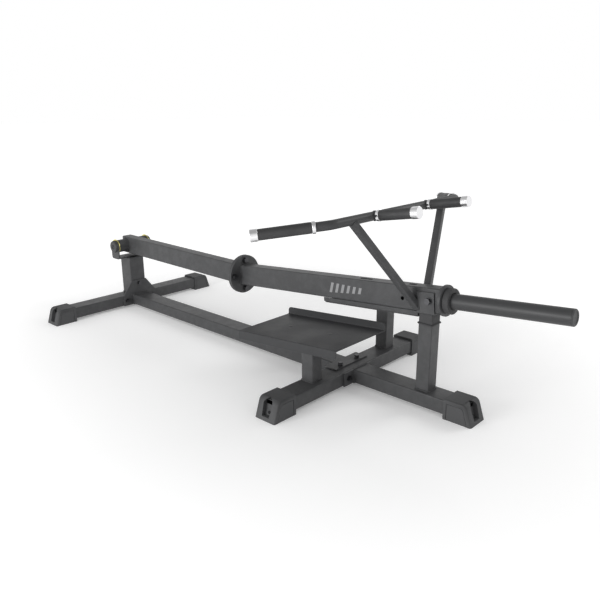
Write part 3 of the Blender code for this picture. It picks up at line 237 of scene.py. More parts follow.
def powder_coat():
    """Satin charcoal coating: a fine orange peel, faint dust, and smoother rounded edges painted paler,
    partly as wear and partly as a painted highlight.
    """
    finish = Finish("powder_coat", 0.46, Specular_IOR_Level=0.28)
    peel = finish.noise(ORANGE_PEEL, 2.0)
    cloud = finish.noise(5.5, 4.0, 0.6)
    speck = finish.band(finish.noise(1900, 1.0), 0.62, 0.70)
    scuff = finish.band(finish.noise(SCUFF_SCALE, 8.0, 0.72), 0.60, 0.78)
    coat_wear_and_highlight = finish.edges() * (0.35 + 0.65 * finish.band(finish.noise(26, 5.0, 0.7), 0.42, 0.66))
    coat = finish.blend(cloud, (0.041, 0.0415, 0.043), (0.047, 0.0475, 0.049))
    coat = finish.blend(speck * 0.30, coat, (0.085, 0.086, 0.089))
    # Paler rounded edges: partly wear, partly a painted highlight that stands in for the bevels' reflections.
    coat = finish.blend(coat_wear_and_highlight * 0.40, coat, (0.095, 0.096, 0.099))
    coat = finish.blend(scuff * 0.08, coat, (0.09, 0.089, 0.087))
    gloss = 0.42 + 0.10 * cloud + 0.08 * scuff - 0.08 * coat_wear_and_highlight
    return finish.shows(Base_Color=coat, Roughness=gloss, Normal=finish.bump(peel, 0.00022, 0.55))


COATED = powder_coat()


def soften(bm, width, segments=2):
    """Rounds every sharp edge over and marks the rounding in the vertex attribute edge."""
    mark = bm.verts.layers.float.get("edge") or bm.verts.layers.float.new("edge")
    bmesh.ops.remove_doubles(bm, verts=bm.verts, dist=1e-6)
    bmesh.ops.dissolve_limit(bm, angle_limit=math.radians(0.4), verts=bm.verts, edges=bm.edges)
    sharp = [edge for edge in bm.edges if edge.is_manifold and edge.calc_face_angle(0) > SHARP]
    if width > 0 and sharp:
        made = bmesh.ops.bevel(bm, geom=sharp, offset=width, offset_type="OFFSET", segments=segments,
                               profile=0.5, affect="EDGES", clamp_overlap=True)
        for vert in made["verts"]:
            vert[mark] = 1.0


def finished(name, bm, material, body, slot, replaced=(), edge=EDGE, segments=2):
    """Makes one finished piece of a closed bmesh: rounded edges, smooth shading and its body. Its slot is not
    used.
    """
    bmesh.ops.recalc_face_normals(bm, faces=bm.faces)
    soften(bm, edge, segments)
    mesh = bpy.data.meshes.new(name)
    bm.to_mesh(mesh)
    bm.free()
    mesh.materials.append(material)
    mesh.shade_smooth()
    mesh.set_sharp_from_angle(angle=math.radians(50))
    made = bpy.data.objects.new(name, mesh)
    bpy.context.scene.collection.objects.link(made)
    weighted = made.modifiers.new("flat_faces_stay_flat", "WEIGHTED_NORMAL")
    weighted.keep_sharp = True
    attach(made, body)
    if replaced:
        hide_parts(*replaced)


def coated(name, bm, body, replaced=(), **rounding):
    """A finished piece of powder coated steel."""
    finished(name, bm, COATED, body, "powder_coat", replaced, **rounding)


def copied(node):
    """A bmesh of one frame part, with its doubles merged."""
    bm = bmesh.new()
    bm.from_mesh(frame["nodes"][node].data)
    bmesh.ops.remove_doubles(bm, verts=bm.verts, dist=1e-6)
    bmesh.ops.dissolve_limit(bm, angle_limit=math.radians(0.4), verts=bm.verts, edges=bm.edges)
    return bm


def cut(bm, cutters):
    """Cuts closed shapes out of a closed shape."""
    bmesh.ops.recalc_face_normals(bm, faces=bm.faces)
    held = []

    def shown(shape):
        mesh = bpy.data.meshes.new("cutting")
        shape.to_mesh(mesh)
        shape.free()
        made = bpy.data.objects.new("cutting", mesh)
        bpy.context.scene.collection.objects.link(made)
        held.append(made)
        return made
    body = shown(bm)
    for cutter in cutters:
        bmesh.ops.recalc_face_normals(cutter, faces=cutter.faces)
        step = body.modifiers.new("cut", "BOOLEAN")
        step.operation = "DIFFERENCE"
        step.object = shown(cutter)
    result = bmesh.new()
    evaluated = body.evaluated_get(bpy.context.evaluated_depsgraph_get())
    result.from_mesh(evaluated.to_mesh())
    evaluated.to_mesh_clear()
    for made in held:
        mesh = made.data
        bpy.data.objects.remove(made)
        bpy.data.meshes.remove(mesh)
    return result


FRAME_STEEL = ("rear_stabiliser", "front_stabiliser", "rear_post", "main_rail", "front_rail", "rest_post",
               "near_plate_post", "plate_rear_stand", "far_post", "pivot_bracket")

for node in FRAME_STEEL:
    coated(f"{node}_coated", copied(node), "frame", [node])


# ------------------------------------------------------------------ foot plate
# Three millimetre sheet, folded down at the near side and up at the far side, and powder coated.
# Shoes have polished its top face a little, so it shines more than the tubes.

def tread():
    """The coating where shoes rub it: smoother in the middle, with fine drag marks along the machine."""
    finish = Finish("worn_tread", 0.42, Specular_IOR_Level=0.12)
    stretched = finish.node("ShaderNodeMapping", {}, {"Vector": finish.place, "Scale": (9.0, 160.0, 9.0)})
    drag = finish.band(finish.noise(3.0, 6.0, 0.7, stretched), 0.52, 0.74)
    rub = finish.band(finish.noise(7.0, 3.0), 0.38, 0.66)
    peel = finish.noise(ORANGE_PEEL, 2.0)
    coat = finish.blend(rub, (0.015, 0.0155, 0.0165), (0.021, 0.0215, 0.0225))
    coat = finish.blend(drag * 0.10, coat, (0.07, 0.07, 0.07))
    # Paler rounded edges: partly wear, partly a painted highlight along the bevels.
    coat = finish.blend(finish.edges() * 0.40, coat, (0.095, 0.096, 0.099))
    gloss = 0.46 - 0.10 * rub + 0.10 * drag
    return finish.shows(Base_Color=coat, Roughness=gloss, Normal=finish.bump(peel, 0.0002, 0.5))


finished("foot_plate_folded", copied("foot_plate"), tread(), "frame", "powder_coat", ["foot_plate"],
         edge=0.0007)


# ------------------------------------------------------------------ moulded feet
# Thick plastic shoes pushed over the ends of the base tubes. Each has a raked, rounded toe with a
# tapered pocket in it, a grooved panel on either side, and a screw at the bottom of the pocket.

FOOT_RAKE = 0.33         # backward lean of the toe per unit of height
FOOT_TOE_R = 0.021       # rounding between the top and the raked toe
FOOT_EDGE_R = 0.0065
BEAM_HALF_W = 0.040
HEEL_DEPTH = 0.0683      # how far the tube goes in
HEEL_CLEAR = 0.0003      # between the tube and the shoe
PANEL_SINK = 0.0007
PANEL_BACK = 0.010       # border of the panel towards the tube
PANEL_FORE = 0.014       # and towards the toe
PANEL_TOP = 0.013
GROOVE_WIDE = 0.0018
GROOVE_DEEP = 0.0024
POCKET_LOW = 0.0120
POCKET_HIGH = 0.0700
POCKET_LOW_HALF = 0.0155
POCKET_HIGH_HALF = 0.0200
POCKET_DEPTH = 0.017
TOE_SCREW_Z = 0.022


def moulded():
    """Matt charcoal nylon: spark-eroded grain, paler rubbed corners and a little floor dust low down."""
    finish = Finish("moulded_nylon", 0.6, Specular_IOR_Level=0.28)
    grain = finish.noise(1400, 3.0, 0.65)
    cloud = finish.noise(14, 3.0)
    dust = finish.band(finish.noise(55, 6.0, 0.7), 0.50, 0.80)
    height = finish.node("ShaderNodeSeparateXYZ", {}, {"Vector": finish.place}, output="Z")
    low = 1 - finish.band(height, 0.0, 0.018)
    body = finish.blend(cloud, (0.043, 0.0435, 0.045), (0.050, 0.0505, 0.052))
    body = finish.blend(finish.edges() * 0.30, body, (0.10, 0.101, 0.104))
    body = finish.blend(dust * low * 0.3, body, (0.12, 0.118, 0.113))
    gloss = 0.52 + 0.10 * cloud + 0.10 * dust
    return finish.shows(Base_Color=body, Roughness=gloss, Normal=finish.bump(grain, 0.00018, 0.6))


MOULDED = moulded()


def arc(centre, radius, start, end, steps):
    """Points of an arc as (u, v), between two angles in degrees."""
    span = end - start
    angles = [math.radians(start + span * step / steps) for step in range(steps + 1)]
    return [(centre[0] + radius * math.cos(a), centre[1] + radius * math.sin(a)) for a in angles]


def prism(outline, low, high, lift=lambda u, v, w: (u, w, v)):
    """A closed prism of an outline in (u, v), from w = low to w = high, set upright by lift."""
    bm = bmesh.new()
    ends = [[bm.verts.new(lift(u, v, w)) for u, v in outline] for w in (low, high)]
    count = len(outline)
    for k in range(count):
        after = (k + 1) % count
        bm.faces.new((ends[0][k], ends[0][after], ends[1][after], ends[1][k]))
    bm.faces.new(ends[0][::-1])
    bm.faces.new(ends[1])
    return bm


def side_outline(length, height, rake, toe_r):
    """A foot seen from the side: upright heel, level top, rounded shoulder and raked toe."""
    lean = math.atan(rake)
    turn = math.radians(90) - lean
    set_back = toe_r * math.tan(turn / 2)
    shoulder = length - rake * height
    centre = (shoulder - set_back, height - toe_r)
    return [(0, 0), (length, 0), *arc(centre, toe_r, math.degrees(lean), 90, 8), (0, height)]


def inset(outline, margin):
    """The outline shrunk towards its middle, so that its sides move in by a margin."""
    us = [u for u, v in outline]
    vs = [v for u, v in outline]
    centre = ((min(us) + max(us)) / 2, (min(vs) + max(vs)) / 2)
    shrink_u = 1 - 2 * margin / (max(us) - min(us))
    shrink_v = 1 - 2 * margin / (max(vs) - min(vs))
    return [(centre[0] + (u - centre[0]) * shrink_u, centre[1] + (v - centre[1]) * shrink_v)
            for u, v in outline]


def groove(outline, margin, low, high):
    """A closed frame between an outline and its inset, from w = low to w = high along Y."""
    inner = inset(outline, margin)
    bm = bmesh.new()
    loops = [(outline, low), (outline, high), (inner, high), (inner, low)]
    rows = [[bm.verts.new((u, w, v)) for u, v in points] for points, w in loops]
    count = len(outline)
    for first, second in zip(rows, rows[1:] + rows[:1]):
        for k in range(count):
            after = (k + 1) % count
            bm.faces.new((first[k], first[after], second[after], second[k]))
    return bm


def moulded_foot(node, heading):
    """One foot in its frame part's place; heading turns its toe, which points along +X before that."""
    low, high = (Vector(corner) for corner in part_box(node))
    size = high - low
    length = max(size.x, size.y)
    wide = min(size.x, size.y)
    turn = Matrix.Rotation(heading, 4, "Z")
    inner = (low + high) / 2 - turn @ Vector((length / 2, 0, 0))
    inner.z = 0
    place = Matrix.Translation(inner) @ turn

    shell = prism(side_outline(length, size.z, FOOT_RAKE, FOOT_TOE_R), -wide / 2, wide / 2)
    bmesh.ops.recalc_face_normals(shell, faces=shell.faces)
    rims = []
    for edge in shell.edges:
        first, second = (vert.co for vert in edge.verts)
        if abs(first.y - second.y) < 1e-6 and (first + second).z > 0.01 and (first + second).x > 0.01:
            rims.append(edge)
    bmesh.ops.bevel(shell, geom=rims, offset=FOOT_EDGE_R, segments=6, profile=0.5, affect="EDGES")

    tube_low, tube_high = (corner[2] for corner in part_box("front_stabiliser"))
    tube_low -= HEEL_CLEAR
    tube_high += HEEL_CLEAR
    heel = [(-0.01, tube_low), (HEEL_DEPTH, tube_low), (HEEL_DEPTH, tube_high), (-0.01, tube_high)]
    cutters = [prism(heel, -BEAM_HALF_W - HEEL_CLEAR, BEAM_HALF_W + HEEL_CLEAR)]
    panel = side_outline(length - PANEL_BACK - PANEL_FORE, size.z - PANEL_TOP, FOOT_RAKE, FOOT_TOE_R * 0.6)
    panel = [(u + PANEL_BACK, v if v > 0 else -0.004) for u, v in panel]
    for sign in (-1, 1):
        sunk = sign * (wide / 2 - PANEL_SINK)
        deep = sign * (wide / 2 - GROOVE_DEEP)
        outside = sign * (wide / 2 + 0.01)
        cutters.append(prism(panel, *sorted((sunk, outside))))
        cutters.append(groove(panel, GROOVE_WIDE, *sorted((deep, outside))))

    # The pocket opens through the raked toe and the rounded shoulder, and widens upwards.
    crown = arc((0, POCKET_HIGH - POCKET_HIGH_HALF), POCKET_HIGH_HALF, 8, 172, 12)
    outline = [(-POCKET_LOW_HALF, POCKET_LOW), (POCKET_LOW_HALF, POCKET_LOW), *crown]

    def into_toe(u, v, w):
        return (length - FOOT_RAKE * v - POCKET_DEPTH + w, u, v)
    cutters.append(prism(outline, 0, POCKET_DEPTH + 0.03, into_toe))
    shell = cut(shell, cutters)
    bmesh.ops.transform(shell, matrix=place, verts=shell.verts)
    finished(f"{node}_shoe", shell, MOULDED, "frame", "moulded_foot", [node], edge=0.0005)
    return place @ Matrix.Translation((length - FOOT_RAKE * TOE_SCREW_Z - POCKET_DEPTH, 0, TOE_SCREW_Z))


FEET = {"rear_near_foot": -90, "rear_far_foot": 90, "front_near_foot": -90, "front_far_foot": 90,
        "nose_foot": 0}
toe_screws = [moulded_foot(node, math.radians(heading)) for node, heading in FEET.items()]


# ------------------------------------------------------------------ rest post saddle and far post cap
# A rubber saddle plugs the rest post, its bead rolled over the tube's edge, and takes the arm's
# bracket. The far post is closed by a pressed-in plastic cap with a domed top.

def rubber():
    """Black moulded rubber: matt, faintly mottled, with a bloom on its edges."""
    finish = Finish("black_rubber", 0.75, Specular_IOR_Level=0.24)
    skin = finish.noise(900, 4.0, 0.7)
    bloom = finish.band(finish.noise(40, 5.0, 0.7), 0.45, 0.75)
    body = finish.blend(bloom, (0.034, 0.034, 0.036), (0.044, 0.044, 0.046))
    body = finish.blend(finish.edges() * 0.25, body, (0.085, 0.085, 0.085))
    gloss = 0.62 + 0.18 * bloom
    return finish.shows(Base_Color=body, Roughness=gloss, Normal=finish.bump(skin, 0.00016, 0.6))


RUBBER = rubber()
finished("rest_saddle_moulded", copied("rest_saddle"), RUBBER, "frame", "rubber", ["rest_saddle"],
         edge=0.0008)
finished("far_post_cap_moulded", copied("far_post_cap"), MOULDED, "frame", "moulded_foot", ["far_post_cap"],
         edge=0.0014, segments=3)


# ------------------------------------------------------------------ hinge
# A turned steel shaft across the clevis, bronze thrust washers against its lugs and domed end caps,
# each with a recess for its socket screw. The arm's barrel turns on the shaft.

HINGE = Vector(frame["joints"][0]["pos_m"])
ROUND = 96               # sides of a turned piece
SHAFT_BORE_R = 0.0131    # of a thrust washer
WASHER_THICK = 0.0025
BARREL_BORE_R = 0.0203
CAP_STEP = 0.0032        # depth of the cap's sloping rim
CAP_SLOPE = 0.0042
CAP_EDGE = 0.0012
CAP_RECESS_R = 0.0115
CAP_FLOOR_R = 0.0108
CAP_HOLE_R = 0.0055
CAP_SCREW_R = 0.0082
CAP_SCREW_LONG = 0.0036
CAP_SCREW_FLATS = 0.0085


def lathe(profile, place, closed=True, sides=ROUND):
    """A turned shape about local +X: (x, radius) pairs round its section, or end to end when it is solid."""
    bm = bmesh.new()
    rows = []
    for x, radius in profile:
        turns = [math.tau * (k + 0.5) / sides for k in range(sides)]
        rows.append([bm.verts.new((x, radius * math.cos(a), radius * math.sin(a))) for a in turns])
    pairs = list(zip(rows, rows[1:]))
    if closed:
        pairs.append((rows[-1], rows[0]))
    for first, second in pairs:
        for k in range(sides):
            after = (k + 1) % sides
            bm.faces.new((first[k], first[after], second[after], second[k]))
    if not closed:
        bm.faces.new(rows[0][::-1])
        bm.faces.new(rows[-1])
    bmesh.ops.transform(bm, matrix=place, verts=bm.verts)
    return bm


def facing(point, direction):
    """A placement whose local +X points along a direction."""
    return Matrix.Translation(point) @ Vector(direction).to_track_quat("X", "Z").to_matrix().to_4x4()


def turned_metal(name, dark, light, roughness):
    """Bare turned metal: fine rings left by the tool, and a slight tarnish."""
    finish = Finish(name, roughness, 1.0)
    tarnish = finish.noise(60, 5.0, 0.6)
    fine = finish.noise(2400, 2.0)
    body = finish.blend(tarnish, dark, light)
    gloss = roughness - 0.06 + 0.16 * tarnish
    return finish.shows(Base_Color=body, Roughness=gloss, Normal=finish.bump(fine, 0.00008, 0.5))


BRONZE = turned_metal("thrust_bronze", (0.70, 0.60, 0.17), (0.86, 0.80, 0.34), 0.34)
STEEL = turned_metal("turned_steel", (0.36, 0.36, 0.37), (0.50, 0.50, 0.51), 0.30)
BLACKED = turned_metal("black_oxide", (0.070, 0.070, 0.074), (0.105, 0.105, 0.110), 0.36)


def hex_socket(place, radius, depth, across):
    """A socket screw's head: a cylinder with a hexagon sunk into its outer face, which points along +X."""
    head = lathe([(-depth, radius), (0, radius)], Matrix(), closed=False, sides=32)
    corner = across / math.sqrt(3)
    hexagon = [(corner * math.cos(math.tau * k / 6), corner * math.sin(math.tau * k / 6)) for k in range(6)]
    head = cut(head, [prism(hexagon, -depth * 0.6, 0.01, lambda u, v, w: (w, u, v))])
    bmesh.ops.transform(head, matrix=place, verts=head.verts)
    return head


for side, sign in (("near", -1), ("far", 1)):
    low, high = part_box(f"pivot_cap_{side}")
    inner_y, outer_y = sorted((low[1], high[1]), key=abs)
    thick = abs(outer_y - inner_y)
    seat = facing((HINGE.x, inner_y, HINGE.z), (0, sign, 0))
    cap_r = (high[2] - low[2]) / 2
    cap_profile = [(0, cap_r), (thick - CAP_STEP, cap_r), (thick - CAP_EDGE, cap_r - CAP_EDGE),
                   (thick, cap_r - CAP_SLOPE), (thick, CAP_RECESS_R), (thick - CAP_SLOPE, CAP_FLOOR_R),
                   (thick - CAP_SLOPE, CAP_HOLE_R), (0, CAP_HOLE_R)]
    coated(f"hinge_cap_{side}", lathe(cap_profile, seat), "frame", [f"pivot_cap_{side}"],
             edge=0.0004)
    screw_seat = seat @ Matrix.Translation((thick - 0.0006, 0, 0))
    screw = hex_socket(screw_seat, CAP_SCREW_R, CAP_SCREW_LONG, CAP_SCREW_FLATS)
    finished(f"hinge_screw_{side}", screw, BLACKED, "frame", "dark_fastener", edge=0.0004)
    low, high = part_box(f"thrust_washer_{side}")
    washer_r = (high[2] - low[2]) / 2
    face_y = min(low[1], high[1], key=abs)
    washer = lathe([(0, washer_r), (WASHER_THICK, washer_r), (WASHER_THICK, SHAFT_BORE_R), (0, SHAFT_BORE_R)],
                   facing((HINGE.x, face_y, HINGE.z), (0, sign, 0)))
    finished(f"hinge_washer_{side}", washer, BRONZE, "frame", "thrust_bronze", [f"thrust_washer_{side}"],
             edge=0.0003)
    frame["nodes"][f"pivot_bush_{side}"].material_slots[0].material = BRONZE
frame["nodes"]["pivot_shaft"].material_slots[0].material = STEEL

low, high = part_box("pivot_barrel")
barrel_half = high[1]
barrel_r = (high[2] - low[2]) / 2
barrel = lathe([(-barrel_half, barrel_r), (barrel_half, barrel_r), (barrel_half, BARREL_BORE_R),
                (-barrel_half, BARREL_BORE_R)], facing(HINGE, (0, 1, 0)))
coated("hinge_barrel", barrel, "lever_arm", ["pivot_barrel"])


# ------------------------------------------------------------------ lever arm
# Two 50 by 80 tubes bolted together through round flange discs. The front one rises towards the
# horn; slots for a hitch pin are cut in its top and a round hole in its near side.

REAR_DROP = math.radians(0.384)
FRONT_RISE = math.radians(4.84)
JOINT_REACH = 0.823      # hinge to the flange joint
TUBE_HALF_H = 0.040
TUBE_HALF_W = 0.025
DISC_R = 0.078
DISC_THICK = 0.008
DISC_GAP = 0.00015       # from the joint's plane to either disc
TUBE_PAST_REST = 0.0509  # the front tube's end, past the rest post's centre line
BOLT_PAST_REST = 0.0101
BRACKET_BEHIND = 0.0318
TOP_SLOTS = ((0.628, 0.052), (0.762, 0.030), (0.815, 0.030))   # centre along the tube, length
TOP_SLOT_W = 0.013
SIDE_HOLE_AT = (0.789, -0.004)
SIDE_HOLE_R = 0.0065


def tilted(point, rise):
    """Axes of a tube that leaves a point along +X and climbs by an angle."""
    return Matrix.Translation(point) @ Matrix.Rotation(-rise, 4, "Y")


REAR_AXIS = tilted(HINGE, -REAR_DROP)
JOINT = REAR_AXIS @ Vector((JOINT_REACH, 0, 0))
JOINT_AXIS = tilted(JOINT, -REAR_DROP)
FRONT_AXIS = tilted(JOINT, FRONT_RISE)


def middle(node):
    """Centre of a frame part's box."""
    low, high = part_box(node)
    return (Vector(low) + Vector(high)) / 2


def along_front(past_rest):
    """Distance along the front tube to a place given from the rest post's centre line."""
    return (middle("rest_post").x + past_rest - JOINT.x) / math.cos(FRONT_RISE)


FRONT_LENGTH = along_front(TUBE_PAST_REST)

coated("rear_tube", copied("rear_arm_tube"), "lever_arm", ["rear_arm_tube"])

cutters = []
for slot_at, length in TOP_SLOTS:
    end_r = TOP_SLOT_W / 2
    reach = length / 2 - end_r
    slot_outline = arc((slot_at + reach, 0), end_r, -90, 90, 8) + arc((slot_at - reach, 0), end_r, 90, 270, 8)
    slot = prism(slot_outline, TUBE_HALF_H - 0.008, TUBE_HALF_H + 0.008, lambda u, v, w: (u, v, w))
    bmesh.ops.transform(slot, matrix=FRONT_AXIS, verts=slot.verts)
    cutters.append(slot)
hole_outline = arc(SIDE_HOLE_AT, SIDE_HOLE_R, 0, 345, 23)
side_hole = prism(hole_outline, -TUBE_HALF_W - 0.006, -TUBE_HALF_W + 0.006)
bmesh.ops.transform(side_hole, matrix=FRONT_AXIS, verts=side_hole.verts)
cutters.append(side_hole)
coated("front_tube", cut(copied("front_arm_tube"), cutters), "lever_arm",
         ["front_arm_tube"], edge=0.0007)
coated("skid_channel", copied("skid_rail"), "lever_arm", ["skid_rail"], edge=0.0006)
finished("skid_rubber", copied("skid_strip"), RUBBER, "lever_arm", "rubber", ["skid_strip"], edge=0.0012,
         segments=3)
coated("bracket_plate", copied("handle_bracket"), "lever_arm", ["handle_bracket"])
for side, start in (("rear", -DISC_GAP - DISC_THICK), ("front", DISC_GAP)):
    disc = lathe([(start, DISC_R), (start + DISC_THICK, DISC_R)], JOINT_AXIS, closed=False)
    coated(f"{side}_disc", disc, "lever_arm", [f"{side}_flange_disc"], edge=0.0014, segments=3)


# ------------------------------------------------------------------ weight horn
# A 50 mm steel sleeve for plates. A welded collar and a thick rubber ring stop the plates, and a
# plastic plug with a sunk centre closes the free end.

FIT = 0.0003             # gap between pieces that touch
COLLAR_R = 0.050
COLLAR_THICK = 0.010
BUMPER_R = 0.041
BUMPER_THICK = 0.022
HORN_R = 0.025
HORN_BORE_R = 0.022
PLUG_DEPTH = 0.018
PLUG_PROUD = 0.0045
PLUG_EDGE = 0.0027
PLUG_RIM_R = 0.0190
PLUG_DISH_R = 0.0175
HORN_START = FRONT_LENGTH + 0.0106
HORN_END = HORN_START + 0.384


def horn_coat():
    """The coating under sliding plates: long fine scratches along the horn and a duller band."""
    finish = Finish("horn_coat", 0.42, Specular_IOR_Level=0.30)
    stretched = finish.node("ShaderNodeMapping", {}, {"Vector": finish.place, "Scale": (6.0, 260.0, 260.0)})
    scratch = finish.band(finish.noise(2.2, 5.0, 0.75, stretched), 0.55, 0.75)
    cloud = finish.noise(9, 4.0, 0.6)
    peel = finish.noise(ORANGE_PEEL, 2.0)
    coat = finish.blend(cloud, (0.041, 0.0415, 0.043), (0.048, 0.0485, 0.050))
    coat = finish.blend(scratch * 0.10, coat, (0.11, 0.11, 0.112))
    gloss = 0.36 + 0.12 * cloud + 0.10 * scratch
    return finish.shows(Base_Color=coat, Roughness=gloss, Normal=finish.bump(peel, 0.0002, 0.5))


collar_start = FRONT_LENGTH + FIT
collar = lathe([(collar_start, COLLAR_R), (collar_start + COLLAR_THICK, COLLAR_R)], FRONT_AXIS, closed=False)
coated("horn_collar_turned", collar, "lever_arm", ["horn_collar"], edge=0.0014, segments=3)
bumper_end = HORN_START + BUMPER_THICK
ring_profile = [(HORN_START, BUMPER_R), (bumper_end, BUMPER_R), (bumper_end, HORN_R + FIT),
                (HORN_START, HORN_R + FIT)]
finished("bumper_rubber", lathe(ring_profile, FRONT_AXIS), RUBBER, "lever_arm", "rubber", ["bumper_ring"],
         edge=0.0036, segments=5)
sleeve = [(HORN_START, HORN_R), (HORN_END, HORN_R), (HORN_END, HORN_BORE_R), (HORN_START, HORN_BORE_R)]
finished("horn_sleeve", lathe(sleeve, FRONT_AXIS), horn_coat(), "lever_arm", "powder_coat", ["weight_horn"],
         edge=0.0005)
plug_end = HORN_END + PLUG_PROUD
plug = lathe([(HORN_END - PLUG_DEPTH, HORN_BORE_R - FIT), (HORN_END + FIT, HORN_BORE_R - FIT),
              (HORN_END + FIT, HORN_R), (HORN_END + 0.0018, HORN_R), (plug_end, HORN_R - PLUG_EDGE),
              (plug_end, PLUG_RIM_R), (HORN_END + 0.0020, PLUG_DISH_R)], FRONT_AXIS, closed=False)
finished("horn_plug", plug, MOULDED, "lever_arm", "moulded_foot", ["horn_end_cap"], edge=0.0005)


# ------------------------------------------------------------------ handle
# One 28 mm tube bent back at both ends, with two short stubs ahead of it, carried by two struts
# that are welded to the bracket. The bar is drawn as a path with rounded corners and skinned.

STABILISER_X = sum(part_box("front_stabiliser")[k][0] for k in (0, 1)) / 2
BAR_AHEAD = 0.189
BAR_Z = 0.6395
HANDLE_TILT = math.radians(9.76)
BAR_R = 0.014
BAR_BORE = 0.012
BAR_BEND_Y = 0.343
BAR_BEND_R = 0.050
SWEEP_BACK = math.radians(45)
STUB_Y = 0.142
OUTER_REACH = 0.2275
INNER_REACH = 0.1625
GRIP_CAP_LONG = 0.0225
STRUT_TOP_Y = 0.252
STRUT_BEHIND_REST = 0.037
STRUT_DROP = 0.0163      # foot of a strut, below the front tube's centre line
STRUT_W = 0.025
STRUT_T = 0.020
HANDLE = tilted((STABILISER_X + BAR_AHEAD, 0, BAR_Z), HANDLE_TILT)


def new_tree(name, inputs):
    """A geometry tree with named inputs; gives the tree, its input node and its output node."""
    tree = bpy.data.node_groups.new(name, "GeometryNodeTree")
    tree.is_modifier = True
    tree.interface.new_socket("Geometry", in_out="INPUT", socket_type="NodeSocketGeometry")
    for label, (kind, value) in inputs.items():
        socket = tree.interface.new_socket(label, in_out="INPUT", socket_type=f"NodeSocket{kind}")
        if value is not None:
            socket.default_value = value
    tree.interface.new_socket("Geometry", in_out="OUTPUT", socket_type="NodeSocketGeometry")
    return tree, tree.nodes.new("NodeGroupInput"), tree.nodes.new("NodeGroupOutput")


def step(tree, kind, settings=None, **sockets):
    """One node of a geometry tree, with its settings and what feeds its sockets."""
    made = tree.nodes.new(kind)
    for name, value in (settings or {}).items():
        setattr(made, name, value)
    for name, value in sockets.items():
        socket = made.inputs[int(name[1:])] if name[0] == "n" and name[1:].isdigit() else made.inputs[
            name.replace("_", " ")]
        if isinstance(value, bpy.types.NodeSocket):
            tree.links.new(value, socket)
        else:
            socket.default_value = value
    return made


def grown(name, guide_mesh, tree, values):
    """Runs a tree on a guide mesh and gives the plain result as a bmesh."""
    guide = bpy.data.objects.new(name, guide_mesh)
    bpy.context.scene.collection.objects.link(guide)
    modifier = guide.modifiers.new("grow", "NODES")
    modifier.node_group = tree
    for item in tree.interface.items_tree:
        if item.in_out == "INPUT" and item.name in values:
            modifier[item.identifier] = values[item.name]
    evaluated = guide.evaluated_get(bpy.context.evaluated_depsgraph_get())
    plain = bpy.data.meshes.new_from_object(evaluated)
    bm = bmesh.new()
    bm.from_mesh(plain)
    guide.modifiers.remove(modifier)
    bpy.data.objects.remove(guide)
    bpy.data.meshes.remove(guide_mesh)
    bpy.data.meshes.remove(plain)
    return bm


def path_mesh(runs, closed=False):
    """A mesh of edges only: one run of points after another."""
    points = []
    edges = []
    for run in runs:
        start = len(points)
        points += [tuple(point) for point in run]
        edges += [(start + k, start + k + 1) for k in range(len(run) - 1)]
        if closed:
            edges.append((start + len(run) - 1, start))
    mesh = bpy.data.meshes.new("path")
    mesh.from_pydata(points, edges, [])
    return mesh


def bent_tube_tree(material):
    """Rounds a path's corners and skins it with a tube's outer and inner wall."""
    tree, given, result = new_tree("bent_tube", {
        "Outer Radius": ("Float", 0.01), "Bore Radius": ("Float", 0.008), "Bend Radius": ("Float", 0.05),
        "Sides": ("Int", 48), "Steps": ("Int", 24)})
    path = step(tree, "GeometryNodeMeshToCurve", Mesh=given.outputs["Geometry"])
    bend = step(tree, "GeometryNodeFilletCurve", {"mode": "POLY"}, Curve=path.outputs[0],
                Radius=given.outputs["Bend Radius"], Limit_Radius=True, Count=given.outputs["Steps"])
    walls = []
    for radius in ("Outer Radius", "Bore Radius"):
        section = step(tree, "GeometryNodeCurvePrimitiveCircle", Resolution=given.outputs["Sides"],
                       Radius=given.outputs[radius])
        walls.append(step(tree, "GeometryNodeCurveToMesh", Curve=bend.outputs[0],
                          Profile_Curve=section.outputs[0], Fill_Caps=False))
    inside = step(tree, "GeometryNodeFlipFaces", Mesh=walls[1].outputs[0])
    both = tree.nodes.new("GeometryNodeJoinGeometry")
    tree.links.new(walls[0].outputs[0], both.inputs[0])
    tree.links.new(inside.outputs[0], both.inputs[0])
    real = step(tree, "GeometryNodeRealizeInstances", Geometry=both.outputs[0])
    coated = step(tree, "GeometryNodeSetMaterial", Geometry=real.outputs[0], Material=material)
    tree.links.new(coated.outputs[0], result.inputs[0])
    return tree


def closed_ends(bm):
    """Bridges a tube's outer and inner rim at each of its open ends."""
    rims = [edge for edge in bm.edges if edge.is_boundary]
    seen = set()
    loops = []
    for edge in rims:
        if edge in seen:
            continue
        loop = [edge]
        seen.add(edge)
        growing = True
        while growing:
            growing = False
            for vert in loop[-1].verts:
                for other in vert.link_edges:
                    if other.is_boundary and other not in seen:
                        loop.append(other)
                        seen.add(other)
                        growing = True
                        break
                if growing:
                    break
        loops.append(loop)

    def loop_centre(loop):
        return sum((edge.verts[0].co for edge in loop), Vector()) / len(loop)
    while loops:
        first = loops.pop()
        centre = loop_centre(first)
        second = min(loops, key=lambda loop: (loop_centre(loop) - centre).length)
        loops.remove(second)
        bmesh.ops.bridge_loops(bm, edges=first + second)
    return bm


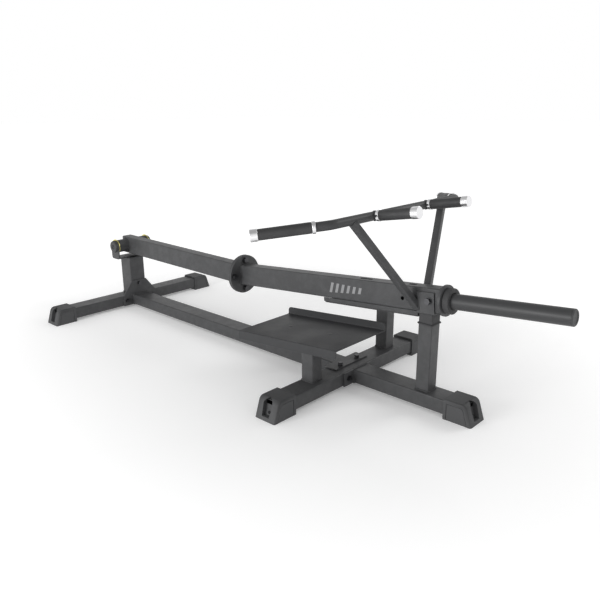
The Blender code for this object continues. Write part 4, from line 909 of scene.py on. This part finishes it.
TUBE_TREE = bent_tube_tree(COATED)
back = Vector((-math.sin(SWEEP_BACK), math.cos(SWEEP_BACK), 0))
tip = Vector((0, BAR_BEND_Y, 0)) + back * (OUTER_REACH - GRIP_CAP_LONG - FIT)
half_path = [tip, Vector((0, BAR_BEND_Y, 0))]
bar_points = [HANDLE @ Vector((p.x, -p.y, p.z)) for p in half_path]
bar_points += [HANDLE @ p for p in reversed(half_path)]
tube_sizes = {"Outer Radius": BAR_R, "Bore Radius": BAR_BORE, "Bend Radius": BAR_BEND_R, "Sides": 48,
              "Steps": 24}
bar = closed_ends(grown("bar_path", path_mesh([bar_points]), TUBE_TREE, tube_sizes))
coated("handle_bar", bar, "lever_arm", ["cross_bar"], edge=0.0)
for side, y in (("near", -STUB_Y), ("far", STUB_Y)):
    stub_line = [HANDLE @ Vector((x, y, 0)) for x in (BAR_R - 0.002, INNER_REACH - GRIP_CAP_LONG - FIT)]
    stub = closed_ends(grown("stub_path", path_mesh([stub_line]), TUBE_TREE, tube_sizes))
    coated(f"handle_stub_{side}", stub, "lever_arm", edge=0.0)
    coated(f"handle_strut_{side}", copied(f"{side}_strut"), "lever_arm", [f"{side}_strut"],
             edge=0.0006)


# ------------------------------------------------------------------ grips
# Black rubber sleeves between a narrow chrome ring and a longer chrome cap on each of the four
# tube ends. A small grub screw holds every ring and cap.

GRIP_R = 0.0164
RING_R = 0.0180
RING_LONG = 0.010
CAP_R = 0.0182
CAP_SPIGOT = 0.012       # of a grip's cap, inside the bar
OUTER_RING_AT = 0.043
INNER_RING_AT = 0.017
GRUB_R = 0.0017


def chrome():
    """Polished chrome with faint finger smears."""
    finish = Finish("polished_chrome", 0.1, 1.0)
    smear = finish.band(finish.noise(45, 4.0, 0.6), 0.45, 0.75)
    body = finish.blend(smear, (0.86, 0.86, 0.87), (0.80, 0.80, 0.81))
    fine = finish.noise(700, 2.0)
    gloss = 0.10 + 0.10 * smear
    return finish.shows(Base_Color=body, Roughness=gloss, Normal=finish.bump(fine, 0.00002, 0.5))


def grip_rubber():
    """Grip rubber: fine pebbled skin, slightly shinier where hands have polished it."""
    finish = Finish("grip_rubber", 0.6, Specular_IOR_Level=0.42)
    sockets = {"Vector": finish.place, "Scale": 950.0}
    pebble = finish.node("ShaderNodeTexVoronoi", {}, sockets, output="Distance")
    polish = finish.band(finish.noise(20, 3.0), 0.40, 0.65)
    body = finish.blend(polish, (0.028, 0.028, 0.029), (0.034, 0.034, 0.035))
    gloss = 0.58 - 0.14 * polish
    return finish.shows(Base_Color=body, Roughness=gloss, Normal=finish.bump(pebble, 0.00025, 0.5))


CHROME = chrome()
GRIP = grip_rubber()
grub_screws = []
for side, sign in (("near", -1), ("far", 1)):
    outward = (-math.sin(SWEEP_BACK), sign * math.cos(SWEEP_BACK), 0)
    ends = (("outer", (0, sign * BAR_BEND_Y, 0), outward, OUTER_RING_AT, OUTER_REACH),
            ("inner", (0, sign * STUB_Y, 0), (1, 0, 0), INNER_RING_AT, INNER_REACH))
    for which, root, direction, ring_at, reach in ends:
        place = HANDLE @ facing(root, direction)
        bore = BAR_R + FIT
        ring_end = ring_at + RING_LONG
        cap_at = reach - GRIP_CAP_LONG
        name = f"{side}_{which}"
        ring = lathe([(ring_at, RING_R), (ring_end, RING_R), (ring_end, bore), (ring_at, bore)], place)
        finished(f"{name}_chrome_ring", ring, CHROME, "lever_arm", "chrome", [f"{name}_ring"], edge=0.0009,
                 segments=3)
        sleeve = lathe([(ring_end + FIT, GRIP_R), (cap_at - FIT, GRIP_R), (cap_at - FIT, bore),
                        (ring_end + FIT, bore)], place)
        finished(f"{name}_rubber_grip", sleeve, GRIP, "lever_arm", "grip_rubber", [f"{name}_grip"],
                 edge=0.0007)
        cap = lathe([(cap_at - CAP_SPIGOT, BAR_BORE - FIT), (cap_at, BAR_BORE - FIT), (cap_at, CAP_R),
                     (reach, CAP_R)], place, closed=False)
        finished(f"{name}_chrome_cap", cap, CHROME, "lever_arm", "chrome", [f"{name}_end_cap"], edge=0.0011,
                 segments=4)
        for along, radius in ((ring_at + RING_LONG / 2, RING_R), (cap_at + GRIP_CAP_LONG * 0.32, CAP_R)):
            below = place @ Vector((along, 0, 0))
            grub_screws.append((below, place.to_3x3() @ Vector((0, 0.5, -0.866)), radius))


# ------------------------------------------------------------------ weld beads
# Every tube meets its plate in a continuous fillet weld, coated over. A bead follows each joint's
# outline and carries the even ripples of the welder's hand.

ALONG = Vector((1, 0, 0))
ACROSS = Vector((0, 1, 0))
UP = Vector((0, 0, 1))
BEAD_R = 0.0030
RIPPLE_PITCH = 0.0034
RIPPLE_DEPTH = 0.0004
TUBE_CORNER = 0.005
POST_HALF = 0.025


def bead_tree(material):
    """Skins closed or open paths with a round bead whose surface ripples along its length."""
    tree, given, result = new_tree("weld_bead", {
        "Bead Radius": ("Float", BEAD_R), "Ripple Pitch": ("Float", RIPPLE_PITCH),
        "Ripple Depth": ("Float", RIPPLE_DEPTH), "Seed": ("Float", 3.0)})
    path = step(tree, "GeometryNodeMeshToCurve", Mesh=given.outputs["Geometry"])
    spacing = step(tree, "ShaderNodeMath", {"operation": "MULTIPLY"}, n0=given.outputs["Ripple Pitch"],
                   n1=0.25)
    even = step(tree, "GeometryNodeResampleCurve", {"mode": "LENGTH"}, Curve=path.outputs[0],
                Length=spacing.outputs[0])
    along = step(tree, "GeometryNodeSplineParameter")
    held = tree.nodes.new("GeometryNodeCaptureAttribute")
    held.capture_items.new("FLOAT", "Along")
    tree.links.new(even.outputs[0], held.inputs["Geometry"])
    tree.links.new(along.outputs["Length"], held.inputs["Along"])
    section = step(tree, "GeometryNodeCurvePrimitiveCircle", Resolution=10,
                   Radius=given.outputs["Bead Radius"])
    skin = step(tree, "GeometryNodeCurveToMesh", Curve=held.outputs["Geometry"],
                Profile_Curve=section.outputs[0], Fill_Caps=True)
    turns = step(tree, "ShaderNodeMath", {"operation": "DIVIDE"}, n0=held.outputs["Along"],
                 n1=given.outputs["Ripple Pitch"])
    angle = step(tree, "ShaderNodeMath", {"operation": "MULTIPLY"}, n0=turns.outputs[0], n1=math.tau)
    wave = step(tree, "ShaderNodeMath", {"operation": "SINE"}, n0=angle.outputs[0])
    rough = step(tree, "ShaderNodeTexNoise", {"noise_dimensions": "4D"}, W=given.outputs["Seed"], Scale=260.0)
    uneven = step(tree, "ShaderNodeMath", {"operation": "ADD"}, n0=wave.outputs[0], n1=rough.outputs[0])
    push = step(tree, "ShaderNodeMath", {"operation": "MULTIPLY"}, n0=uneven.outputs[0],
                n1=given.outputs["Ripple Depth"])
    outward = step(tree, "GeometryNodeInputNormal")
    offset = step(tree, "ShaderNodeVectorMath", {"operation": "SCALE"}, Vector=outward.outputs[0],
                  Scale=push.outputs[0])
    rippled = step(tree, "GeometryNodeSetPosition", Geometry=skin.outputs[0], Offset=offset.outputs[0])
    real = step(tree, "GeometryNodeRealizeInstances", Geometry=rippled.outputs[0])
    coated = step(tree, "GeometryNodeSetMaterial", Geometry=real.outputs[0], Material=material)
    tree.links.new(coated.outputs[0], result.inputs[0])
    return tree


def box_run(half_u, half_v, corner, lift):
    """A rounded rectangle's outline; lift takes (u, v) to a point on the machine."""
    points = []
    for quarter, (su, sv) in enumerate(((1, 1), (-1, 1), (-1, -1), (1, -1))):
        centre = (su * (half_u - corner), sv * (half_v - corner))
        points += arc(centre, corner, 90 * quarter, 90 * quarter + 90, 4)
    return [lift(u, v) for u, v in points]


def ring_run(radius, lift, count=48):
    """Points evenly spaced round a circle; lift takes (u, v) to a point on the machine."""
    return [lift(radius * math.cos(math.tau * k / count), radius * math.sin(math.tau * k / count))
            for k in range(count)]


BASE_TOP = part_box("front_stabiliser")[1][2]


def post_run(half, x, y):
    """The outline of a square post where it stands on the base tubes."""
    return box_run(half, half, TUBE_CORNER, lambda u, v: (x + u, y + v, BASE_TOP + 0.001))


beads = []
for node, half in (("rest_post", POST_HALF), ("far_post", POST_HALF), ("rear_post", BEAM_HALF_W)):
    beads.append(post_run(half, middle(node).x, middle(node).y))
beads.append(post_run(POST_HALF, middle("near_plate_post").x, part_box("near_plate_post")[0][1] + POST_HALF))
beads.append(post_run(POST_HALF, middle("plate_rear_stand").x, 0))
clevis_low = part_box("pivot_bracket")[0][2]
beads.append(box_run(0.0385, 0.0385, TUBE_CORNER, lambda u, v: (HINGE.x + u, v, clevis_low - 0.0005)))
rail_ends = (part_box("main_rail")[0][0] + 0.0068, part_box("front_stabiliser")[0][0] - 0.0068,
             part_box("front_rail")[0][0] + 0.0068)
rail_z = (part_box("front_stabiliser")[0][2] + BASE_TOP) / 2
for x in rail_ends:
    beads.append(box_run(BEAM_HALF_W, POST_HALF, TUBE_CORNER, lambda u, v, x=x: (x, u, rail_z + v)))
BEADS = bead_tree(COATED)
bead_sizes = {"Bead Radius": BEAD_R, "Ripple Pitch": RIPPLE_PITCH, "Ripple Depth": RIPPLE_DEPTH, "Seed": 3.0}


def weld(name, body, runs, sizes):
    """Lays a bead along each closed run, as one piece on a body."""
    coated(name, grown(f"{name}_paths", path_mesh(runs, closed=True), BEADS, sizes), body, edge=0.0)


weld("frame_welds", "frame", beads, bead_sizes)

beads = []
for sign in (-1, 1):
    beads.append(ring_run(barrel_r + 0.0006, lambda u, v, y=sign * (TUBE_HALF_W + 0.0006): (
        HINGE.x + u, y, HINGE.z + v)))
for axis, along in ((REAR_AXIS, JOINT_REACH - DISC_THICK - 0.001), (JOINT_AXIS, DISC_THICK + 0.001),
                    (FRONT_AXIS, FRONT_LENGTH - 0.001)):
    beads.append(box_run(TUBE_HALF_W + 0.0005, TUBE_HALF_H + 0.0005, TUBE_CORNER,
                         lambda u, v, axis=axis, along=along: axis @ Vector((along, u, v))))
weld("arm_welds", "lever_arm", beads, bead_sizes)

HANDLE_BEAD_R = 0.0020
HANDLE_RIPPLE_DEPTH = 0.0003
STRUT_CORNER = 0.003
beads = []
for sign in (-1, 1):
    stub = [HANDLE @ Vector((math.sqrt(max(BAR_R ** 2 - (BAR_R * math.sin(a)) ** 2, 0)) + 0.0006,
                             sign * STUB_Y + (BAR_R + 0.0004) * math.cos(a), BAR_R * math.sin(a)))
            for a in (math.tau * k / 40 for k in range(40))]
    beads.append(stub)

bar_centre = HANDLE.translation
for sign in (-1, 1):
    foot_x = middle("rest_post").x - STRUT_BEHIND_REST
    foot_z = JOINT.z + (foot_x - JOINT.x) * math.tan(FRONT_RISE) - STRUT_DROP
    foot = Vector((foot_x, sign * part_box("handle_bracket")[1][1], foot_z))
    head = Vector((bar_centre.x, sign * STRUT_TOP_Y, bar_centre.z))
    run = (head - foot).normalized()
    across = run.cross(ALONG).normalized()
    fore = across.cross(run)
    rim = box_run(STRUT_W / 2, STRUT_T / 2, STRUT_CORNER, lambda u, v: fore * u + across * v)
    beads.append([foot + point - run * (point.y / run.y) for point in rim])
    coped = []
    for point in rim:
        start = head + point
        gap = Vector((start.x - bar_centre.x, 0, start.z - bar_centre.z))
        flat = Vector((run.x, 0, run.z))
        half_b = gap.dot(flat) / flat.length_squared
        rest = (gap.length_squared - (BAR_R + 0.0005) ** 2) / flat.length_squared
        coped.append(start - run * (half_b + math.sqrt(max(half_b ** 2 - rest, 0))))
    beads.append(coped)
weld("handle_welds", "lever_arm", beads,
     {**bead_sizes, "Bead Radius": HANDLE_BEAD_R, "Ripple Depth": HANDLE_RIPPLE_DEPTH})


# ------------------------------------------------------------------ bolts and nuts
# Black oxide hexagon bolts on flat washers. One tree sets a head, a washer and a thread end at
# every marked point, and turns it to the way the bolt comes out.

def fastener_tree(material):
    """Puts a hexagon, a washer and a stud end on every point, along its attribute facing."""
    tree, given, result = new_tree("fasteners", {
        "Across Flats": ("Float", 0.016), "Head Height": ("Float", 0.007), "Washer Radius": ("Float", 0.010),
        "Washer Height": ("Float", 0.0016), "Stud Radius": ("Float", 0.0), "Stud Height": ("Float", 0.0)})
    parts = tree.nodes.new("GeometryNodeJoinGeometry")

    def disc(sides, radius, height, low):
        """A short prism that stands on a height above the seat."""
        made = step(tree, "GeometryNodeMeshCylinder", Vertices=sides, Radius=radius, Depth=height)
        middle_up = step(tree, "ShaderNodeMath", {"operation": "MULTIPLY_ADD"}, n0=height, n1=0.5, n2=low)
        lift = step(tree, "ShaderNodeCombineXYZ", Z=middle_up.outputs[0])
        moved = step(tree, "GeometryNodeTransform", Geometry=made.outputs["Mesh"],
                     Translation=lift.outputs[0])
        tree.links.new(moved.outputs[0], parts.inputs[0])
    corner = step(tree, "ShaderNodeMath", {"operation": "DIVIDE"}, n0=given.outputs["Across Flats"],
                  n1=math.sqrt(3))
    head_top = step(tree, "ShaderNodeMath", {"operation": "ADD"}, n0=given.outputs["Washer Height"],
                    n1=given.outputs["Head Height"])
    disc(40, given.outputs["Washer Radius"], given.outputs["Washer Height"], 0.0)
    disc(6, corner.outputs[0], given.outputs["Head Height"], given.outputs["Washer Height"])
    disc(24, given.outputs["Stud Radius"], given.outputs["Stud Height"], head_top.outputs[0])
    facing_way = step(tree, "GeometryNodeInputNamedAttribute", {"data_type": "FLOAT_VECTOR"}, Name="facing")
    turn = step(tree, "FunctionNodeAlignRotationToVector", {"axis": "Z"}, Vector=facing_way.outputs[0])
    placed = step(tree, "GeometryNodeInstanceOnPoints", Points=given.outputs["Geometry"],
                  Instance=parts.outputs[0], Rotation=turn.outputs[0])
    real = step(tree, "GeometryNodeRealizeInstances", Geometry=placed.outputs[0])
    blacked = step(tree, "GeometryNodeSetMaterial", Geometry=real.outputs[0], Material=material)
    tree.links.new(blacked.outputs[0], result.inputs[0])
    return tree


FASTENERS = fastener_tree(BLACKED)


def fasten(name, seats, body, sizes, replaced=()):
    """Sets one kind of fastener on its seats: a list of points and outward directions."""
    mesh = bpy.data.meshes.new("seats")
    mesh.from_pydata([tuple(point) for point, way in seats], [], [])
    marks = mesh.attributes.new("facing", "FLOAT_VECTOR", "POINT")
    for mark, (point, way) in zip(marks.data, seats):
        mark.vector = tuple(way)
    bm = grown("fastener_seats", mesh, FASTENERS, sizes)
    finished(name, bm, BLACKED, body, "dark_fastener", replaced, edge=0.0005)


def hex_sizes(thread, stud=False):
    """Usual proportions of a hexagon fastener for a thread diameter."""
    return {"Across Flats": thread * 1.6, "Head Height": thread * 0.7, "Washer Radius": thread * 1.05,
            "Washer Height": thread * 0.18, "Stud Radius": thread * (0.47 if stud else 0.2),
            "Stud Height": thread * (0.45 if stud else 0.01)}


flange_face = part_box("main_rail")[0][0] + 0.006
post_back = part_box("rear_post")[0][0]
front_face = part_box("front_rail")[0][0] + 0.006
leg_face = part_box("front_stabiliser")[0][0] - 0.0063
plate_top = BASE_TOP + 0.0043
REAR_SEATS = ((-0.0735, rail_z), (0.0735, rail_z), (0, 0.114))
SIDE_SEATS = (-0.065, 0.065)
DOWN_SEATS = (-0.047, 0.047)
DOWN_X = STABILISER_X - 0.008
FLANGE_BOLT_CIRCLE = 0.0585
M5, M6, M8, M10, M12 = 0.005, 0.006, 0.008, 0.010, 0.012
heads = [((flange_face, y, z), ALONG) for y, z in REAR_SEATS]
heads += [((front_face, y, rail_z), ALONG) for y in SIDE_SEATS]
fasten("base_bolt_heads", heads, "frame", hex_sizes(M10))
fasten("joint_bolt_heads", [((DOWN_X, y, plate_top), UP) for y in DOWN_SEATS], "frame",
       {**hex_sizes(M10), "Head Height": 0.0105})
nuts = [((post_back, y, z), -ALONG) for y, z in REAR_SEATS]
nuts += [((leg_face, y, rail_z), -ALONG) for y in SIDE_SEATS]
nuts += [((DOWN_X, y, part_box("front_stabiliser")[0][2]), -UP) for y in DOWN_SEATS]
fasten("base_nuts", nuts, "frame", {**hex_sizes(M10, stud=True), "Head Height": 0.0068,
                                                      "Stud Height": 0.002})

ring_places = ring_run(FLANGE_BOLT_CIRCLE, lambda u, v: (u, v), 4)
way = JOINT_AXIS.to_3x3() @ ALONG
fasten("flange_bolt_heads", [(JOINT_AXIS @ Vector((DISC_THICK + 0.0002, y, z)), way) for y, z in ring_places],
       "lever_arm", hex_sizes(M12), [f"flange_bolt_{k}" for k in ("far", "top", "near", "low")])
fasten("flange_nuts", [(JOINT_AXIS @ Vector((-DISC_THICK - 0.0002, y, z)), -way) for y, z in ring_places],
       "lever_arm", hex_sizes(M12, stud=True))

bolt_at = FRONT_AXIS @ Vector((along_front(BOLT_PAST_REST), 0, 0))
bracket_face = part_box("handle_bracket")[1][1]
fasten("handle_bolt_head", [((bolt_at.x, -bracket_face, bolt_at.z), -ACROSS)], "lever_arm",
       hex_sizes(M12), ["handle_bolt"])
fasten("handle_lock_nut", [((bolt_at.x, bracket_face, bolt_at.z), ACROSS)], "lever_arm",
       hex_sizes(M12, stud=True), ["handle_nut"])

PLATE_SLOPE = 0.0889
PLATE_TOP = 0.1967       # the plate's upper face over the front stabiliser
lean = math.atan(PLATE_SLOPE)
plate_normal = Vector((-math.sin(lean), 0, math.cos(lean)))
plate_bolts = {}
for which in ("front", "rear"):
    low, high = (Vector(corner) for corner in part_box(f"foot_plate_bolt_{which}"))
    axis_x = STABILISER_X + {"front": -0.0227, "rear": -0.2132}[which]
    surface = PLATE_TOP + PLATE_SLOPE * (axis_x - STABILISER_X)
    plate_bolts[which] = Vector((axis_x, (low.y + high.y) / 2, surface))
for which, at in plate_bolts.items():
    screw = hex_socket(facing(at, plate_normal) @ Matrix.Translation((0.0010, 0, 0)), 0.0068, 0.0009, 0.0050)
    finished(f"foot_plate_screw_{which}", screw, COATED, "frame", "dark_fastener",
             [f"foot_plate_bolt_{which}"], edge=0.0003)
under = [(plate_bolts["front"] - plate_normal * 0.0287, -plate_normal),
         (plate_bolts["rear"] - plate_normal * 0.0084, -plate_normal)]
fasten("foot_plate_nuts", under, "frame", hex_sizes(M8, stud=True))

SKID_RAIL_HIGH = 0.015
SKID_STRIP_HIGH = 0.004
skid_low = -TUBE_HALF_H - FIT - SKID_RAIL_HIGH - FIT - SKID_STRIP_HIGH
skid_end = along_front(-BRACKET_BEHIND) - 0.002
skid_seats = [(FRONT_AXIS @ Vector((skid_end - back, 0, skid_low)), FRONT_AXIS.to_3x3() @ -UP)
              for back in (0.293, 0.205, 0.045)]
fasten("skid_screws", skid_seats, "lever_arm", {**hex_sizes(M6), "Head Height": 0.003})
fasten("toe_screws", [(place.translation, place.to_3x3() @ ALONG) for place in toe_screws], "frame",
       {**hex_sizes(M5), "Head Height": 0.003})
grubs = bmesh.new()
for centre, way, radius in grub_screws:
    point = centre + way.normalized() * (radius - 0.0012)
    screw = hex_socket(facing(point, way) @ Matrix.Translation((0.0014, 0, 0)), GRUB_R, 0.0022, 0.0016)
    spare = bpy.data.meshes.new("spare")
    screw.to_mesh(spare)
    screw.free()
    grubs.from_mesh(spare)
    bpy.data.meshes.remove(spare)
finished("grub_screws", grubs, BLACKED, "lever_arm", "dark_fastener", edge=0.0001)


# ------------------------------------------------------------------ side mark
# A plain printed mark in pale grey on the near side of the front tube: slanted bars of even width,
# each shorter than the last. It carries no letters.

MARK_X = 0.556           # centre of the mark along the front tube
MARK_BARS = 6
MARK_PITCH = 0.0255
MARK_BAR_W = 0.0115
MARK_HIGH = 0.036
MARK_SLANT = 0.30


def printed():
    """Screen-printed ink: pale grey with a little of the coating showing through."""
    finish = Finish("printed_mark", 0.55)
    thin = finish.band(finish.noise(420, 4.0, 0.7), 0.62, 0.80)
    ink = finish.blend(thin * 0.5, (0.23, 0.23, 0.235), (0.10, 0.10, 0.102))
    return finish.shows(Base_Color=ink, Roughness=0.5 + 0.1 * thin)


marks = bmesh.new()
for k in range(MARK_BARS):
    height = MARK_HIGH * (1 - 0.08 * k)
    left = MARK_X + (k - MARK_BARS / 2) * MARK_PITCH
    lean_by = MARK_SLANT * height
    right = left + MARK_BAR_W
    outline = [(left, -height / 2), (right, -height / 2), (right + lean_by, height / 2),
               (left + lean_by, height / 2)]
    corners = [FRONT_AXIS @ Vector((u, -TUBE_HALF_W - w, v)) for w in (0.00005, 0.0002) for u, v in outline]
    verts = [marks.verts.new(corner) for corner in corners]
    for face in ((0, 1, 2, 3), (4, 7, 6, 5), (0, 4, 5, 1), (1, 5, 6, 2), (2, 6, 7, 3), (3, 7, 4, 0)):
        marks.faces.new([verts[index] for index in face])
finished("side_mark", marks, printed(), "lever_arm", "powder_coat", edge=0.0)
